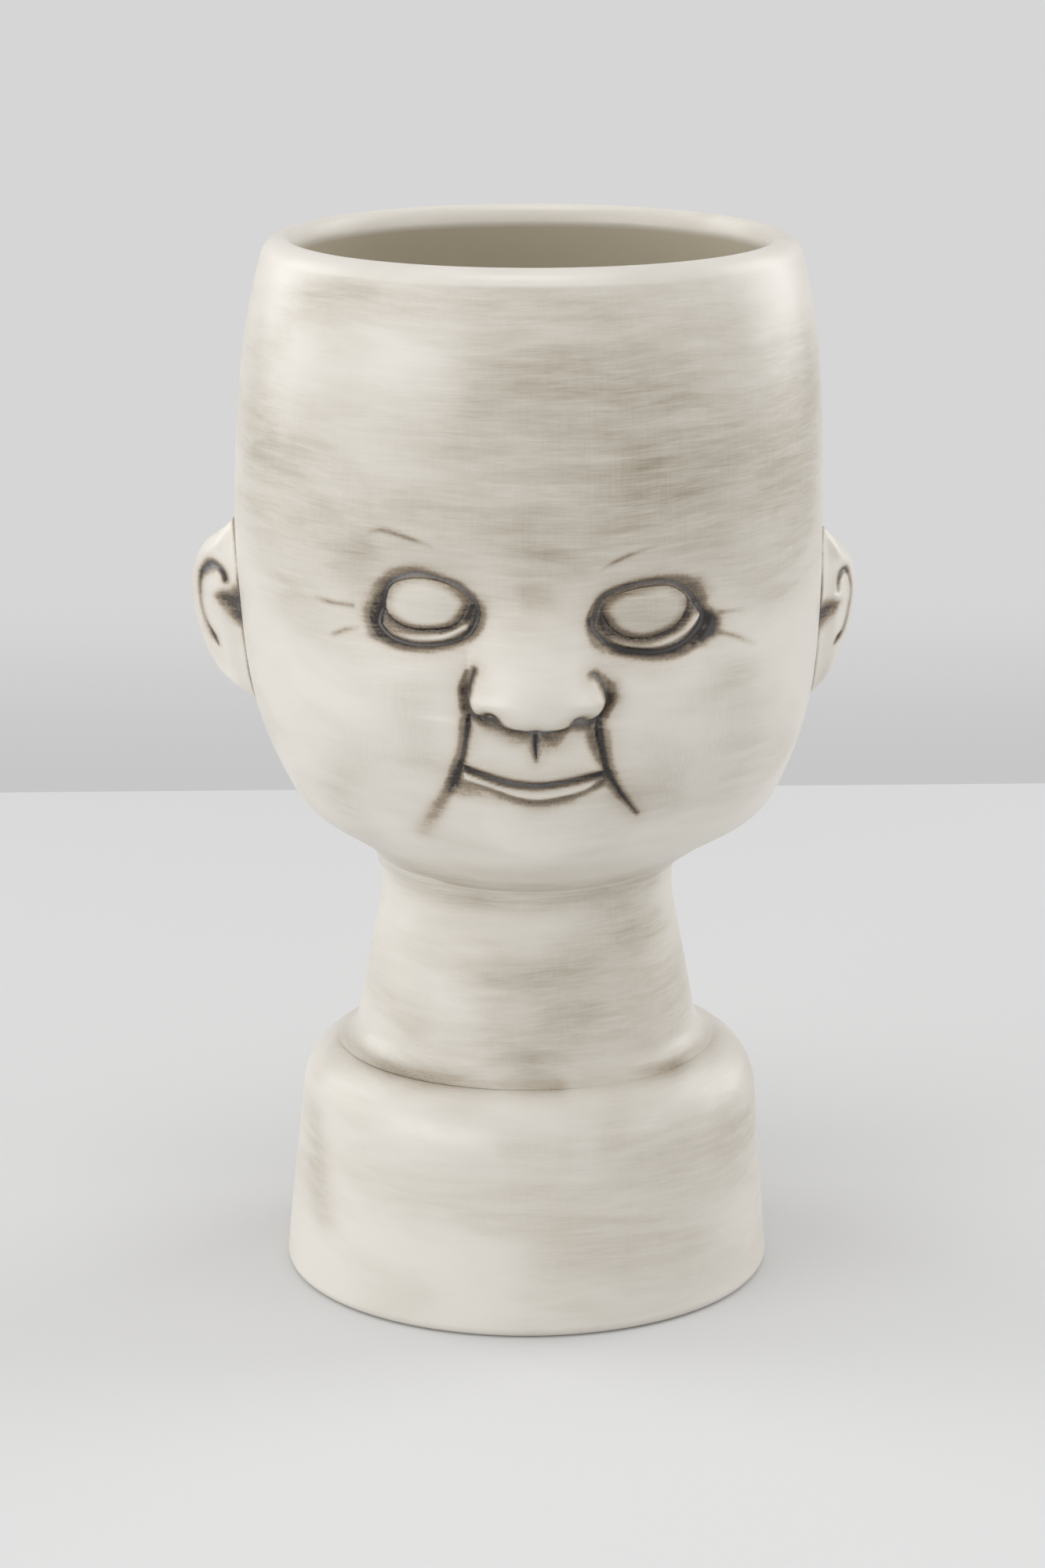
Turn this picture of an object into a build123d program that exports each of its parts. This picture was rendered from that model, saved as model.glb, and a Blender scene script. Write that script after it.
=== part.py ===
from build123d import *
import os
from math import cos, hypot, radians, sin

# Face vase: a cast ceramic doll's head on a tapered neck and a round plinth, open at the crown.
# The origin is the middle of the foot, on the surface that the vase stands on. +Z is up and the face
# looks along -Y, so the doll's own left side is +X. Lengths are in millimetres, angles in degrees.

# Every wall of the casting
WALL = 6.0

# Plinth: a hollow drum that narrows upwards to a soft shoulder
PLINTH_HEIGHT = 65.0
FOOT_RADIUS = 66.0
SHOULDER_RADIUS = 59.9
SHOULDER_ROUND = 14.5
FOOT_ROUND = 1.5
FOOT_RECESS = 2.5
FOOT_RING = 9.0
CAVITY_ROUND = 5.0

# Neck: a tube that tapers to a waist under the jaw, luted to the plinth's shelf and to the head's underside
NECK_HEIGHT = 48.7
NECK_FOOT_RADIUS = 46.4
NECK_TOP_RADIUS = 39.3
NECK_COVE = 1.8
WAIST_DROP = 7.5
WAIST_PINCH = 0.3
WAIST_ROUND = 40.0

# Head: an open bowl, wider than deep at the jaw, with a rolled lip at the crown
HEAD_HEIGHT = 168.0
HEAD_WIDTH = 155.6
FACE_DEPTH = 77.0
BACK_DEPTH = 85.0
RIM_RADIUS = 69.6
LIP_THICKNESS = 7.4
LIP_DEPTH = 7.0
LIP_OUTER_ROUND = 4.4
LIP_INNER_ROUND = 2.4
# Rows from the jaw up: share of the head's height, then how far the half width, the face's depth and the
# back's depth have come from the radius at that end (the neck's below, the rim's above) to full size
JAW_ROWS = [
    (0.048, 0.226, 0.289, 0.154),
    (0.090, 0.517, 0.602, 0.349),
    (0.143, 0.697, 0.796, 0.535),
    (0.244, 0.873, 0.933, 0.740),
    (0.369, 0.964, 0.978, 0.907),
    (0.536, 1.000, 0.982, 1.000),
]
CROWN_ROWS = [
    (0.756, 0.858, 0.938, 0.806),
    (0.893, 0.526, 0.584, 0.420),
]

# Eyes: blank oval buttons with a ball-shaped front, seated in sockets of the head
EYE_SPACING = 55.0
EYE_HEIGHT = 84.0
EYE_DROP = 1.1
EYE_LENGTH = 21.4
EYE_WIDTH = 13.4
EYE_TILT = 4.0
EYE_BALL_RADIUS = 26.0
EYE_PROUD = 0.9
SOCKET_DEPTH = 3.6
SOCKET_GAP = 1.1
LID_ROUND = 1.3
LID_PROUD = 0.5
LID_TURNS = (200, 270, 340)

# Nose: a ridge that widens to a round tip, between two wings
NOSE_TOP_HEIGHT = 86.0
NOSE_TIP_HEIGHT = 63.0
NOSE_BASE_HEIGHT = 54.5
NOSE_REACH = 11.5
NOSE_TIP_WIDTH = 27.0
NOSE_RIDGE_WIDTH = 15.0
NOSE_ROOT = 4.0
WING_SPACING = 22.0
WING_HEIGHT = 62.0
WING_RADIUS = 6.4
WING_PROUD = 1.0
NOSTRIL_SPACING = 14.0
NOSTRIL_RADIUS = 2.3

# Mouth: a line with a full lower lip, a notch above it and a fold down each side
MOUTH_WIDTH = 37.0
MOUTH_HEIGHT = 41.8
MOUTH_SAG = 3.0
MOUTH_GROOVE = 0.9
LIP_DROP = 2.6
LIP_ROUND = 2.2
LIP_PROUD = 0.9
NOTCH_HEIGHT = 49.5
NOTCH_LENGTH = 5.6
NOTCH_TOP = 1.4
NOTCH_TIP = 0.3
FOLD_GROOVE = 0.8
# Each fold runs in two arcs: round the wing, then past the mouth. Half width and height of each point
FOLD_UPPER = [(15.4, 68.0), (17.8, 61.0), (16.8, 53.0)]
FOLD_LOWER = [(16.8, 53.0), (19.2, 41.5), (25.0, 31.5)]

# Ears: a thin shell with a rolled rim, luted to the sides of the head
EAR_WIDEST_HEIGHT = 73.5
EAR_ABOVE = 18.5
EAR_BELOW = 24.0
EAR_REACH = 17.5
EAR_LEAN = 57.0
EAR_SETBACK = 3.0
EAR_ROOT = 14.0
EAR_SHELL = 4.0
EAR_RIM = 2.3
EAR_DISH_RADIUS = 15.0
EAR_DISH_DEPTH = 1.6
EAR_RIDGE = 1.5
EAR_RIDGE_INSET = 6.5

# The half ellipses of every section, and the heights and radii that follow from the sizes above
HALF_TURN = 180
NECK_BASE = PLINTH_HEIGHT
HEAD_BASE = NECK_BASE + NECK_HEIGHT
PASSAGE_FOOT_RADIUS = NECK_FOOT_RADIUS - WALL
PASSAGE_TOP_RADIUS = NECK_TOP_RADIUS - WALL


def turned(*outline):
    """Solid of revolution about the vase's axis, from a closed outline of radius and height."""
    return revolve(Plane.XZ * make_face(outline), Axis.Z)


def plinth():
    """Drum with a round shoulder, a recessed underside and a cavity that opens into the neck."""
    floor_top = FOOT_RECESS + WALL
    ceiling = PLINTH_HEIGHT - WALL
    ring_inner = FOOT_RADIUS - FOOT_RING
    outside = FilletPolyline(
        (ring_inner, 0),
        (FOOT_RADIUS, 0),
        (SHOULDER_RADIUS, PLINTH_HEIGHT),
        (PASSAGE_FOOT_RADIUS, PLINTH_HEIGHT),
        radius=[FOOT_ROUND, SHOULDER_ROUND],
    )
    inside = FilletPolyline(
        (PASSAGE_FOOT_RADIUS, ceiling),
        (SHOULDER_RADIUS - WALL, ceiling),
        (FOOT_RADIUS - WALL, floor_top),
        (0, floor_top),
        radius=[SHOULDER_ROUND - WALL, CAVITY_ROUND],
    )
    underside = Polyline((0, floor_top), (0, FOOT_RECESS), (ring_inner, FOOT_RECESS), (ring_inner, 0))
    passage = Line((PASSAGE_FOOT_RADIUS, PLINTH_HEIGHT), (PASSAGE_FOOT_RADIUS, ceiling))
    return turned(outside, passage, inside, underside)


def neck():
    """Tube with square ends and a soft waist, flared a little where it was smoothed on to the plinth."""
    waist_radius = NECK_TOP_RADIUS - WAIST_PINCH
    waist_height = HEAD_BASE - WAIST_DROP
    cove_height = 2 * NECK_COVE
    taper = (NECK_FOOT_RADIUS - waist_radius) / (waist_height - NECK_BASE)
    cove_top = (NECK_FOOT_RADIUS - taper * cove_height, NECK_BASE + cove_height)
    cove_foot = (NECK_FOOT_RADIUS + NECK_COVE / 2, NECK_BASE)
    cove = TangentArc(cove_top, cove_foot, tangent=(taper, -1))
    outside = FilletPolyline(
        cove_top, (waist_radius, waist_height), (NECK_TOP_RADIUS, HEAD_BASE), radius=WAIST_ROUND
    )
    passage = FilletPolyline(
        (PASSAGE_TOP_RADIUS, HEAD_BASE),
        (waist_radius - WALL, waist_height),
        (PASSAGE_FOOT_RADIUS, NECK_BASE),
        radius=WAIST_ROUND,
    )
    top = Line((NECK_TOP_RADIUS, HEAD_BASE), (PASSAGE_TOP_RADIUS, HEAD_BASE))
    foot = Line((PASSAGE_FOOT_RADIUS, NECK_BASE), cove_foot)
    return turned(cove, outside, top, passage, foot)


def head_rows():
    """Height, half width, face depth and back depth of the head's sections, from jaw to rim."""
    full_sizes = (HEAD_WIDTH / 2, FACE_DEPTH, BACK_DEPTH)
    rows = [(0.0, NECK_TOP_RADIUS, NECK_TOP_RADIUS, NECK_TOP_RADIUS)]
    for end_radius, form in ((NECK_TOP_RADIUS, JAW_ROWS), (RIM_RADIUS, CROWN_ROWS)):
        for up, *shares in form:
            sizes = [end_radius + share * (full - end_radius) for share, full in zip(shares, full_sizes)]
            rows.append((up * HEAD_HEIGHT, *sizes))
    rows.append((HEAD_HEIGHT, RIM_RADIUS, RIM_RADIUS, RIM_RADIUS))
    return rows


def head_section(height, half_width, front, back):
    """One level section: half an ellipse for the face and half for the back of the head."""
    face_half = EllipticalCenterArc((0, 0), half_width, front, start_angle=HALF_TURN, arc_size=HALF_TURN)
    back_half = EllipticalCenterArc((0, 0), half_width, back, start_angle=0, arc_size=HALF_TURN)
    return Plane.XY.offset(HEAD_BASE + height) * make_face([face_half, back_half])


def inner_rows():
    """The head's rows moved inwards by the wall, square to the surface, from neck passage to lip."""
    rows = head_rows()
    inner = [(WALL, PASSAGE_TOP_RADIUS, PASSAGE_TOP_RADIUS, PASSAGE_TOP_RADIUS)]
    for below, row, above in zip(rows, rows[1:], rows[2:]):
        rise = above[0] - below[0]
        spread = above[1] - below[1]
        slope = hypot(rise, spread)
        inward = WALL * rise / slope
        lift = WALL * spread / slope
        inner.append((row[0] + lift, row[1] - inward, row[2] - inward, row[3] - inward))
    mouth = RIM_RADIUS - LIP_THICKNESS
    inner.append((HEAD_HEIGHT - LIP_DEPTH, mouth, mouth, mouth))
    return inner


def head_outside():
    """The head's outer form as a full solid, without its cavity or its face."""
    return loft([head_section(*row) for row in head_rows()])


def head_bowl(outside):
    """The cast bowl, before the face: its cavity, the passage to the neck and the rolled lip."""
    cavity = loft([head_section(*row) for row in inner_rows()])
    standing = (Align.CENTER, Align.CENTER, Align.MIN)
    passage = Pos(0, 0, HEAD_BASE) * Cylinder(PASSAGE_TOP_RADIUS, WALL, align=standing)
    lip_bottom = HEAD_BASE + HEAD_HEIGHT - LIP_DEPTH
    mouth = Pos(0, 0, lip_bottom) * Cylinder(RIM_RADIUS - LIP_THICKNESS, LIP_DEPTH, align=standing)
    bowl = outside - cavity - passage - mouth
    top = bowl.faces().filter_by(GeomType.PLANE).sort_by(Axis.Z)[-1]
    bowl = fillet(top.outer_wire().edges(), LIP_OUTER_ROUND)
    top = bowl.faces().filter_by(GeomType.PLANE).sort_by(Axis.Z)[-1]
    return fillet(top.inner_wires().edges(), LIP_INNER_ROUND)


def skin(outside, x, height):
    """Point and outward normal of the front of the head, at a distance from its middle plane."""
    level = HEAD_BASE + height
    inside = Line((x, -2 * FACE_DEPTH, level), (x, 0, level)) & outside
    point = inside.vertices().sort_by(Axis.Y)[0].center()
    face = outside.faces().sort_by_distance(point)[0]
    return point, face.normal_at(point)


def bead(outside, places, radius, sinks):
    """Round bar along an arc through three places on the face, each sunk to its own depth."""
    points = []
    for (x, height), sink in zip(places, sinks):
        point, normal = skin(outside, x, height)
        points.append(point - normal * sink)
    path = ThreePointArc(*points)
    return sweep(Plane(origin=path @ 0, z_dir=path % 0) * Circle(radius), path=path)


def eye_plane(outside, side):
    """Plane on the skin at an eye's middle, turned so that the eye's outer end is the higher one."""
    point, normal = skin(outside, side * EYE_SPACING / 2, EYE_HEIGHT - side * EYE_DROP)
    flat = Plane(origin=point, x_dir=Vector(0, 0, 1).cross(normal), z_dir=normal)
    return flat.rotated((0, 0, side * EYE_TILT))


def eye(outside, side):
    """Blank oval button that stands on the floor of its socket, with a ball-shaped front."""
    plane = eye_plane(outside, side)
    plug = extrude(Ellipse(EYE_LENGTH / 2, EYE_WIDTH / 2), SOCKET_DEPTH + EYE_PROUD)
    ball = Pos(0, 0, SOCKET_DEPTH + EYE_PROUD - EYE_BALL_RADIUS) * Sphere(EYE_BALL_RADIUS)
    return plane.offset(-SOCKET_DEPTH) * (plug & ball)


def socket(outside, side):
    """Cutter for an eye's socket: the eye's oval with a gap all round, down to a flat floor."""
    oval = Ellipse(EYE_LENGTH / 2 + SOCKET_GAP, EYE_WIDTH / 2 + SOCKET_GAP)
    return eye_plane(outside, side).offset(-SOCKET_DEPTH) * extrude(oval, 2 * SOCKET_DEPTH)


def lower_lid(outside, side):
    """Round bar on the skin, under the lower edge of a socket."""
    plane = eye_plane(outside, side)
    long_half = EYE_LENGTH / 2 + SOCKET_GAP + LID_ROUND
    short_half = EYE_WIDTH / 2 + SOCKET_GAP + LID_ROUND
    places = []
    for turn in LID_TURNS:
        spot = plane.from_local_coords((long_half * cos(radians(turn)), short_half * sin(radians(turn)), 0))
        places.append((spot.X, spot.Z - HEAD_BASE))
    return bead(outside, places, LID_ROUND, (LID_ROUND, LID_ROUND - LID_PROUD, LID_ROUND))


def nose(outside):
    """Ridge, round tip and two wings, rooted in the wall, with nostrils in the underside."""
    drop = NOSE_TOP_HEIGHT - NOSE_TIP_HEIGHT
    rows = [
        (NOSE_TOP_HEIGHT, NOSE_RIDGE_WIDTH / 2, 0.0),
        (NOSE_TOP_HEIGHT - drop / 3, NOSE_RIDGE_WIDTH / 2, NOSE_REACH / 4),
        (NOSE_TIP_HEIGHT + drop / 3, (NOSE_RIDGE_WIDTH + NOSE_TIP_WIDTH) / 4, NOSE_REACH * 5 / 8),
        (NOSE_TIP_HEIGHT, NOSE_TIP_WIDTH / 2, NOSE_REACH),
        (NOSE_BASE_HEIGHT, NOSE_TIP_WIDTH / 3, NOSE_REACH / 2),
    ]
    sections = []
    for height, half_width, reach in rows:
        middle = skin(outside, 0, height)[0].Y + NOSE_ROOT
        front = EllipticalCenterArc(
            (0, middle), half_width, NOSE_ROOT + reach, start_angle=HALF_TURN, arc_size=HALF_TURN
        )
        sections.append(Plane.XY.offset(HEAD_BASE + height) * make_face([front, Line(front @ 1, front @ 0)]))
    form = loft(sections)
    for side in (-1, 1):
        wing, normal = skin(outside, side * WING_SPACING / 2, WING_HEIGHT)
        form += Pos(*(wing + normal * WING_PROUD)) * Rot(0, 90, 0) * Sphere(WING_RADIUS)
    return form


def nostrils(outside):
    """Cutter for the two round hollows under the nose."""
    front = skin(outside, 0, NOSE_BASE_HEIGHT)[0].Y - NOSE_REACH / 3
    hollows = Part()
    for side in (-1, 1):
        place = Pos(side * NOSTRIL_SPACING / 2, front, HEAD_BASE + NOSE_BASE_HEIGHT)
        hollows += place * Sphere(NOSTRIL_RADIUS)
    return hollows


def mouth_places(drop):
    """Left end, middle and right end of the mouth's line, or of a line lower down that follows it."""
    half = MOUTH_WIDTH / 2 - drop
    end_height = MOUTH_HEIGHT - drop / 2
    return [(-half, end_height), (0, MOUTH_HEIGHT - MOUTH_SAG - drop), (half, end_height)]


def folds(outside):
    """Cutter for the two folds that run round the nose's wings and past the mouth to the chin."""
    cutter = Part()
    for side in (-1, 1):
        upper = [(side * x, height) for x, height in FOLD_UPPER]
        lower = [(side * x, height) for x, height in FOLD_LOWER]
        cutter += bead(outside, upper, FOLD_GROOVE, (0, 0, 0))
        cutter += bead(outside, lower, FOLD_GROOVE, (0, 0, -FOLD_GROOVE))
    return cutter


def notch(outside):
    """Cutter for the tapered notch in the upper lip."""
    point = skin(outside, 0, NOTCH_HEIGHT)[0]
    return Pos(*point) * Cone(NOTCH_TIP, NOTCH_TOP, NOTCH_LENGTH)


def head_vessel(outside):
    """The bowl with its face."""
    head = head_bowl(outside)
    head += nose(outside)
    head += bead(outside, mouth_places(LIP_DROP), LIP_ROUND, (LIP_ROUND, LIP_ROUND - LIP_PROUD, LIP_ROUND))
    for side in (-1, 1):
        head += lower_lid(outside, side)
    head -= nostrils(outside)
    head -= bead(outside, mouth_places(0), MOUTH_GROOVE, (0, 0, 0))
    head -= folds(outside)
    head -= notch(outside)
    for side in (-1, 1):
        head -= socket(outside, side)
    return head


def ear_rim(inset):
    """The ear's curved edge in its own plane, or a line that runs inside it."""
    widest = (EAR_REACH - inset, 0)
    upper = TangentArc(widest, (0, EAR_ABOVE - inset), tangent=(0, 1))
    lower = TangentArc(widest, (0, -EAR_BELOW + inset), tangent=(0, -1))
    return [upper, lower]


def ear_bar(inset, radius, lift):
    """Round bar along the ear's edge or inside it, lifted off the shell's middle, with its ends run in."""
    bar = Part()
    for arc in ear_rim(inset):
        run_in = Line(arc @ 1, arc @ 1 + (arc % 1) * EAR_ROOT)
        path = Wire([arc, run_in])
        bar += sweep(Plane(origin=arc @ 0, z_dir=arc % 0) * Circle(radius), path=path)
    return Pos(0, 0, lift) * bar


def ear(outside):
    """The doll's left ear: a dished shell with a rolled rim and an inner ridge, cut to the head."""
    upper, lower = ear_rim(0)
    root = Polyline(upper @ 1, (-EAR_ROOT, EAR_ABOVE), (-EAR_ROOT, -EAR_BELOW), lower @ 1)
    shell = extrude(make_face([upper, lower, root]), EAR_SHELL / 2, both=True)
    dish_middle = EAR_SHELL / 2 - EAR_DISH_DEPTH + EAR_DISH_RADIUS
    shell -= Pos(EAR_REACH / 2, 0, dish_middle) * Sphere(EAR_DISH_RADIUS)
    shell += ear_bar(0, EAR_RIM, 0)
    shell += ear_bar(EAR_RIDGE_INSET, EAR_RIDGE, EAR_SHELL / 2 - EAR_RIDGE / 2)
    height = HEAD_BASE + EAR_WIDEST_HEIGHT
    inside = Line((0, EAR_SETBACK, height), (HEAD_WIDTH, EAR_SETBACK, height)) & outside
    seat = inside.vertices().sort_by(Axis.X)[-1].center()
    lean = radians(EAR_LEAN)
    plane = Plane(origin=seat, x_dir=(cos(lean), sin(lean), 0), z_dir=(sin(lean), -cos(lean), 0))
    return plane * shell - outside


def build():
    """Every piece of the vase by its node's name."""
    outside = head_outside()
    left_ear = ear(outside)
    return {
        "plinth": plinth(),
        "neck": neck(),
        "head_vessel": head_vessel(outside),
        "left_ear": left_ear,
        "right_ear": mirror(left_ear, about=Plane.YZ),
        "left_eye": eye(outside, 1),
        "right_eye": eye(outside, -1),
    }


os.makedirs("parts", exist_ok=True)
for name, piece in build().items():
    export_step(piece, f"parts/{name}.step")
    box = piece.bounding_box()
    print(name, "solids", len(piece.solids()), "volume", round(piece.volume), "size", box.size)
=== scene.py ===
# %% [markdown]
# # A ceramic face vase
# The real vase is cast in clay: a doll's head that is open at the crown, a tapered neck and a round plinth.
# Its ears and blank eyes are separate small castings. Everything is joined wet, fired, brushed with a brown
# stain that is wiped off again so that it stays in the creases, and then glazed satin.
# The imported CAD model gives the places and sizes. Each of its seven pieces is rebuilt below with the soft
# detail that clay has, and the new piece stands for the CAD node.

# %% The frame that everything is built around
from math import pi, radians

import bmesh
import bpy
import numpy as np
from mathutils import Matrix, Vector


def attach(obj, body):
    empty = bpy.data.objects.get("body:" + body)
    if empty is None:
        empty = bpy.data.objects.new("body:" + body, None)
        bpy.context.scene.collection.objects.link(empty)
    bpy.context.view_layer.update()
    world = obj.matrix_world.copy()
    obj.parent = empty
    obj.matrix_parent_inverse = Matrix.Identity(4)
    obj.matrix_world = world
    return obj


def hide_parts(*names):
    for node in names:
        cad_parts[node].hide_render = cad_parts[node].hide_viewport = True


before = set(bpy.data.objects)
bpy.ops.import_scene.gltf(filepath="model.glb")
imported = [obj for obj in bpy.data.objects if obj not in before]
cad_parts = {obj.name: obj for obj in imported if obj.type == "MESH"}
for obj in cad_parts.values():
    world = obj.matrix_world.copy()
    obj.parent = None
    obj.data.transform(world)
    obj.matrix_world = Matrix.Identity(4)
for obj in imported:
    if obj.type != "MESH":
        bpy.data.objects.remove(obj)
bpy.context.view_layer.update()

scene = bpy.context.scene

# %% [markdown]
# ## Camera
# A long lens stands a little to the left of the vase and looks down on it. A 100 mm lens on a 36 mm frame
# gives the slight perspective of the photograph: the rim's ellipse is flatter than the foot's.

# %% Camera
camera_data = bpy.data.cameras.new("photo_camera")
camera_data.lens = 100
camera_data.sensor_fit = "VERTICAL"
camera_data.sensor_height = 36
camera = bpy.data.objects.new("photo_camera", camera_data)
camera.location = (-0.0408, -1.1353, 0.4277)
camera.rotation_euler = (radians(75.48), 0, radians(-2))
scene.collection.objects.link(camera)
scene.camera = camera
print("camera at", tuple(camera.location))

# %% [markdown]
# ## Small tools for nodes and colours
# A shader or a geometry tree is a list of nodes and links. One function that adds a node, sets its settings
# and fills its inputs keeps each tree readable: an input may be a plain value or another node's output.
# Colours are written as the sRGB hex values that a picture shows, and Blender wants them linear.

# %% Node and colour helpers
MM = 0.001


def linear(hex_colour):
    """sRGB hex colour as linear RGBA."""
    channels = [int(hex_colour[k:k + 2], 16) / 255 for k in (1, 3, 5)]
    curved = [c / 12.92 if c <= 0.04045 else ((c + 0.055) / 1.055) ** 2.4 for c in channels]
    return (*curved, 1.0)


def add(tree, kind, inputs=None, output=0, **settings):
    """New node with its settings and its inputs, values or other nodes' outputs. Returns one output."""
    node = tree.nodes.new(kind)
    for name, value in settings.items():
        setattr(node, name, value)
    for key, value in (inputs or {}).items():
        if isinstance(value, bpy.types.NodeSocket):
            tree.links.new(value, node.inputs[key])
        else:
            node.inputs[key].default_value = value
    return node.outputs[output] if node.outputs else None


print("a mid grey of #808080 is", round(linear("#808080")[0], 3), "when linear")

# %% [markdown]
# ## The finish: stained and glazed earthenware
# White earthenware under a satin glaze. A brown stain was brushed on and wiped off, so three things lie on
# the white: fine brush streaks that run round the form, feathered smears beside the creases, and nearly
# black creases where the stain stayed and the glaze pooled to a grey, speckled line; that grey and its
# speckles are partly a painted reflection and painted glints of the light above.
# The streaks are noise whose cells are long and flat. A real bristle's mark is about 0.2 mm wide, too fine to
# show in the render, so bristles and speckles are drawn coarser here. Where the creases and smears lie is
# known best by the mesh, so each piece carries them as attributes: `crease` is 1 in the middle of a line and
# 0 at its edge, `pool` is how grey that line is, pooled glaze and partly a painted reflection,
# `smear` is how much stain lies there, with painted shade under the eyeballs, `patch` is where the
# wiping left more streaks and partly paints shade on the side away from the key lamp, `upright` where the
# brush went up and down, and `inside` the unstained inside.

# %% Streaks left by the brush: sizes of one noise cell in metres
STROKE_CELLS = {
    "bristles": (7 * MM, 7 * MM, 0.5 * MM),
    "bands": (22 * MM, 22 * MM, 2.6 * MM),
    "upright strokes": (0.8 * MM, 0.8 * MM, 10 * MM),
    "patches": (55 * MM, 55 * MM, 20 * MM),
    "speckle": (0.7 * MM, 0.7 * MM, 0.7 * MM),
}
BAND_SHARE = 0.58
CROSSING = 0.12
WANDER_SIZE = 60 * MM
WANDER = (0, 0, 6 * MM)

ceramic = bpy.data.materials.new("stained_glazed_earthenware")
ceramic.use_nodes = True
tree = ceramic.node_tree
tree.nodes.clear()
place = add(tree, "ShaderNodeTexCoord", output="Object")
drift = add(tree, "ShaderNodeTexNoise", {"Vector": place, "Scale": 1 / WANDER_SIZE, "Detail": 1.0}, "Color")
both_ways = add(tree, "ShaderNodeVectorMath", {0: drift, 1: (0.5, 0.5, 0.5)}, operation="SUBTRACT")
path = add(tree, "ShaderNodeVectorMath", {0: both_ways, 1: WANDER, 2: place}, operation="MULTIPLY_ADD")
strokes = {}
for name, cell in STROKE_CELLS.items():
    cells = add(tree, "ShaderNodeMapping", {"Vector": path, "Scale": cell}, vector_type="TEXTURE")
    strokes[name] = add(tree, "ShaderNodeTexNoise", {
        "Vector": cells, "Scale": 1.0, "Detail": 3.0, "Distortion": 0.4,
    })
painted = {}
for name in ("crease", "pool", "smear", "patch", "upright", "inside"):
    painted[name] = add(tree, "ShaderNodeAttribute", output="Fac", attribute_name=name)
# Mix takes its share as input 0, two numbers as 2 and 3, and two colours as 6 and 7.
around = add(tree, "ShaderNodeMix", {0: BAND_SHARE, 2: strokes["bristles"], 3: strokes["bands"]})
crossing = add(tree, "ShaderNodeMath", {0: painted["upright"], 1: CROSSING}, operation="MAXIMUM")
brushed = add(tree, "ShaderNodeMix", {0: crossing, 2: around, 3: strokes["upright strokes"]})
wiped = add(tree, "ShaderNodeMapRange", {
    "Value": strokes["patches"], "From Min": 0.38, "From Max": 0.68, "To Min": 0.0, "To Max": 0.2,
}, interpolation_type="SMOOTHSTEP")
# More streaks where the wiping left stain; `patch` also paints shade on the side away from the key lamp.
left_on_and_shade = add(tree, "ShaderNodeMath", {0: wiped, 1: painted["patch"]}, operation="ADD")
dragged = add(tree, "ShaderNodeMapRange", {
    "Value": brushed, "From Min": 0.36, "From Max": 0.64, "To Min": 0.54, "To Max": 1.08,
})
streak_and_shade = add(tree, "ShaderNodeMath", {0: dragged, 1: left_on_and_shade}, operation="MULTIPLY", use_clamp=True)
print("brushed patterns:", ", ".join(strokes))

# %% Smears with feathered edges (under the eyeballs partly painted shade), and creases with a ragged edge and grey speckles, partly painted glints
feather = add(tree, "ShaderNodeMapRange", {
    "Value": brushed, "From Min": 0.3, "From Max": 0.7, "To Min": 0.65, "To Max": 1.25,
})
grit = add(tree, "ShaderNodeMapRange", {
    "Value": strokes["speckle"], "From Min": 0.3, "From Max": 0.7, "To Min": 0.85, "To Max": 1.15,
})
ragged = add(tree, "ShaderNodeMath", {0: feather, 1: grit}, operation="MULTIPLY")
rubbed_and_shaded = add(tree, "ShaderNodeMath", {0: painted["smear"], 1: ragged}, operation="MULTIPLY", use_clamp=True)
ragged_line = add(tree, "ShaderNodeMath", {0: painted["crease"], 1: ragged}, operation="MULTIPLY")
dark = add(tree, "ShaderNodeMapRange", {
    "Value": ragged_line, "From Min": 0.0, "From Max": 0.7,
}, interpolation_type="SMOOTHSTEP")
# The grey of pooled glaze in a crease, with speckled glints: partly a painted reflection of the light above.
glint = add(tree, "ShaderNodeMapRange", {
    "Value": strokes["speckle"], "From Min": 0.4, "From Max": 0.62, "To Min": 0.4, "To Max": 1.0,
})
grey = add(tree, "ShaderNodeMath", {0: painted["pool"], 1: glint}, operation="MULTIPLY", use_clamp=True)
print("attributes that the finish reads:", ", ".join(painted))

# %% Colours and gloss of the glaze
# A satin glaze gives broad soft highlights under a thin clearer coat, and shines more where it pooled.
BODY = "#E2DDD4"
STREAK_AND_SHADE = "#94876F"
INSIDE = "#DBD3C2"
SMEAR_AND_SHADE_THIN = "#C9BBA8"
SMEAR_AND_SHADE_FULL = "#2E231C"
CREASE = "#241D1A"
# Grey of pooled glaze, partly a painted reflection of the light above.
POOLED_AND_REFLECTION = "#808185"

# Smears are stain, and under the eyeballs partly painted shade.
thin_stain_and_shade = add(tree, "ShaderNodeMapRange", {"Value": rubbed_and_shaded, "From Max": 0.45})
full_stain_and_shade = add(tree, "ShaderNodeMapRange", {"Value": rubbed_and_shaded, "From Min": 0.22, "From Max": 0.95})
LAYERS = [
    (streak_and_shade, STREAK_AND_SHADE, "MIX"),
    (painted["inside"], INSIDE, "MIX"),
    (thin_stain_and_shade, SMEAR_AND_SHADE_THIN, "MULTIPLY"),
    (full_stain_and_shade, SMEAR_AND_SHADE_FULL, "MIX"),
    (dark, CREASE, "MIX"),
    (grey, POOLED_AND_REFLECTION, "MIX"),
]
colour = linear(BODY)
for share, tint, blend in LAYERS:
    colour = add(tree, "ShaderNodeMix", {0: share, 6: colour, 7: linear(tint)}, 2,
                 data_type="RGBA", blend_type=blend)
roughness = add(tree, "ShaderNodeMapRange", {"Value": dark, "To Min": 0.40, "To Max": 0.28})
bumps = add(tree, "ShaderNodeBump", {"Height": brushed, "Strength": 0.05, "Distance": 0.3 * MM})
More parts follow.
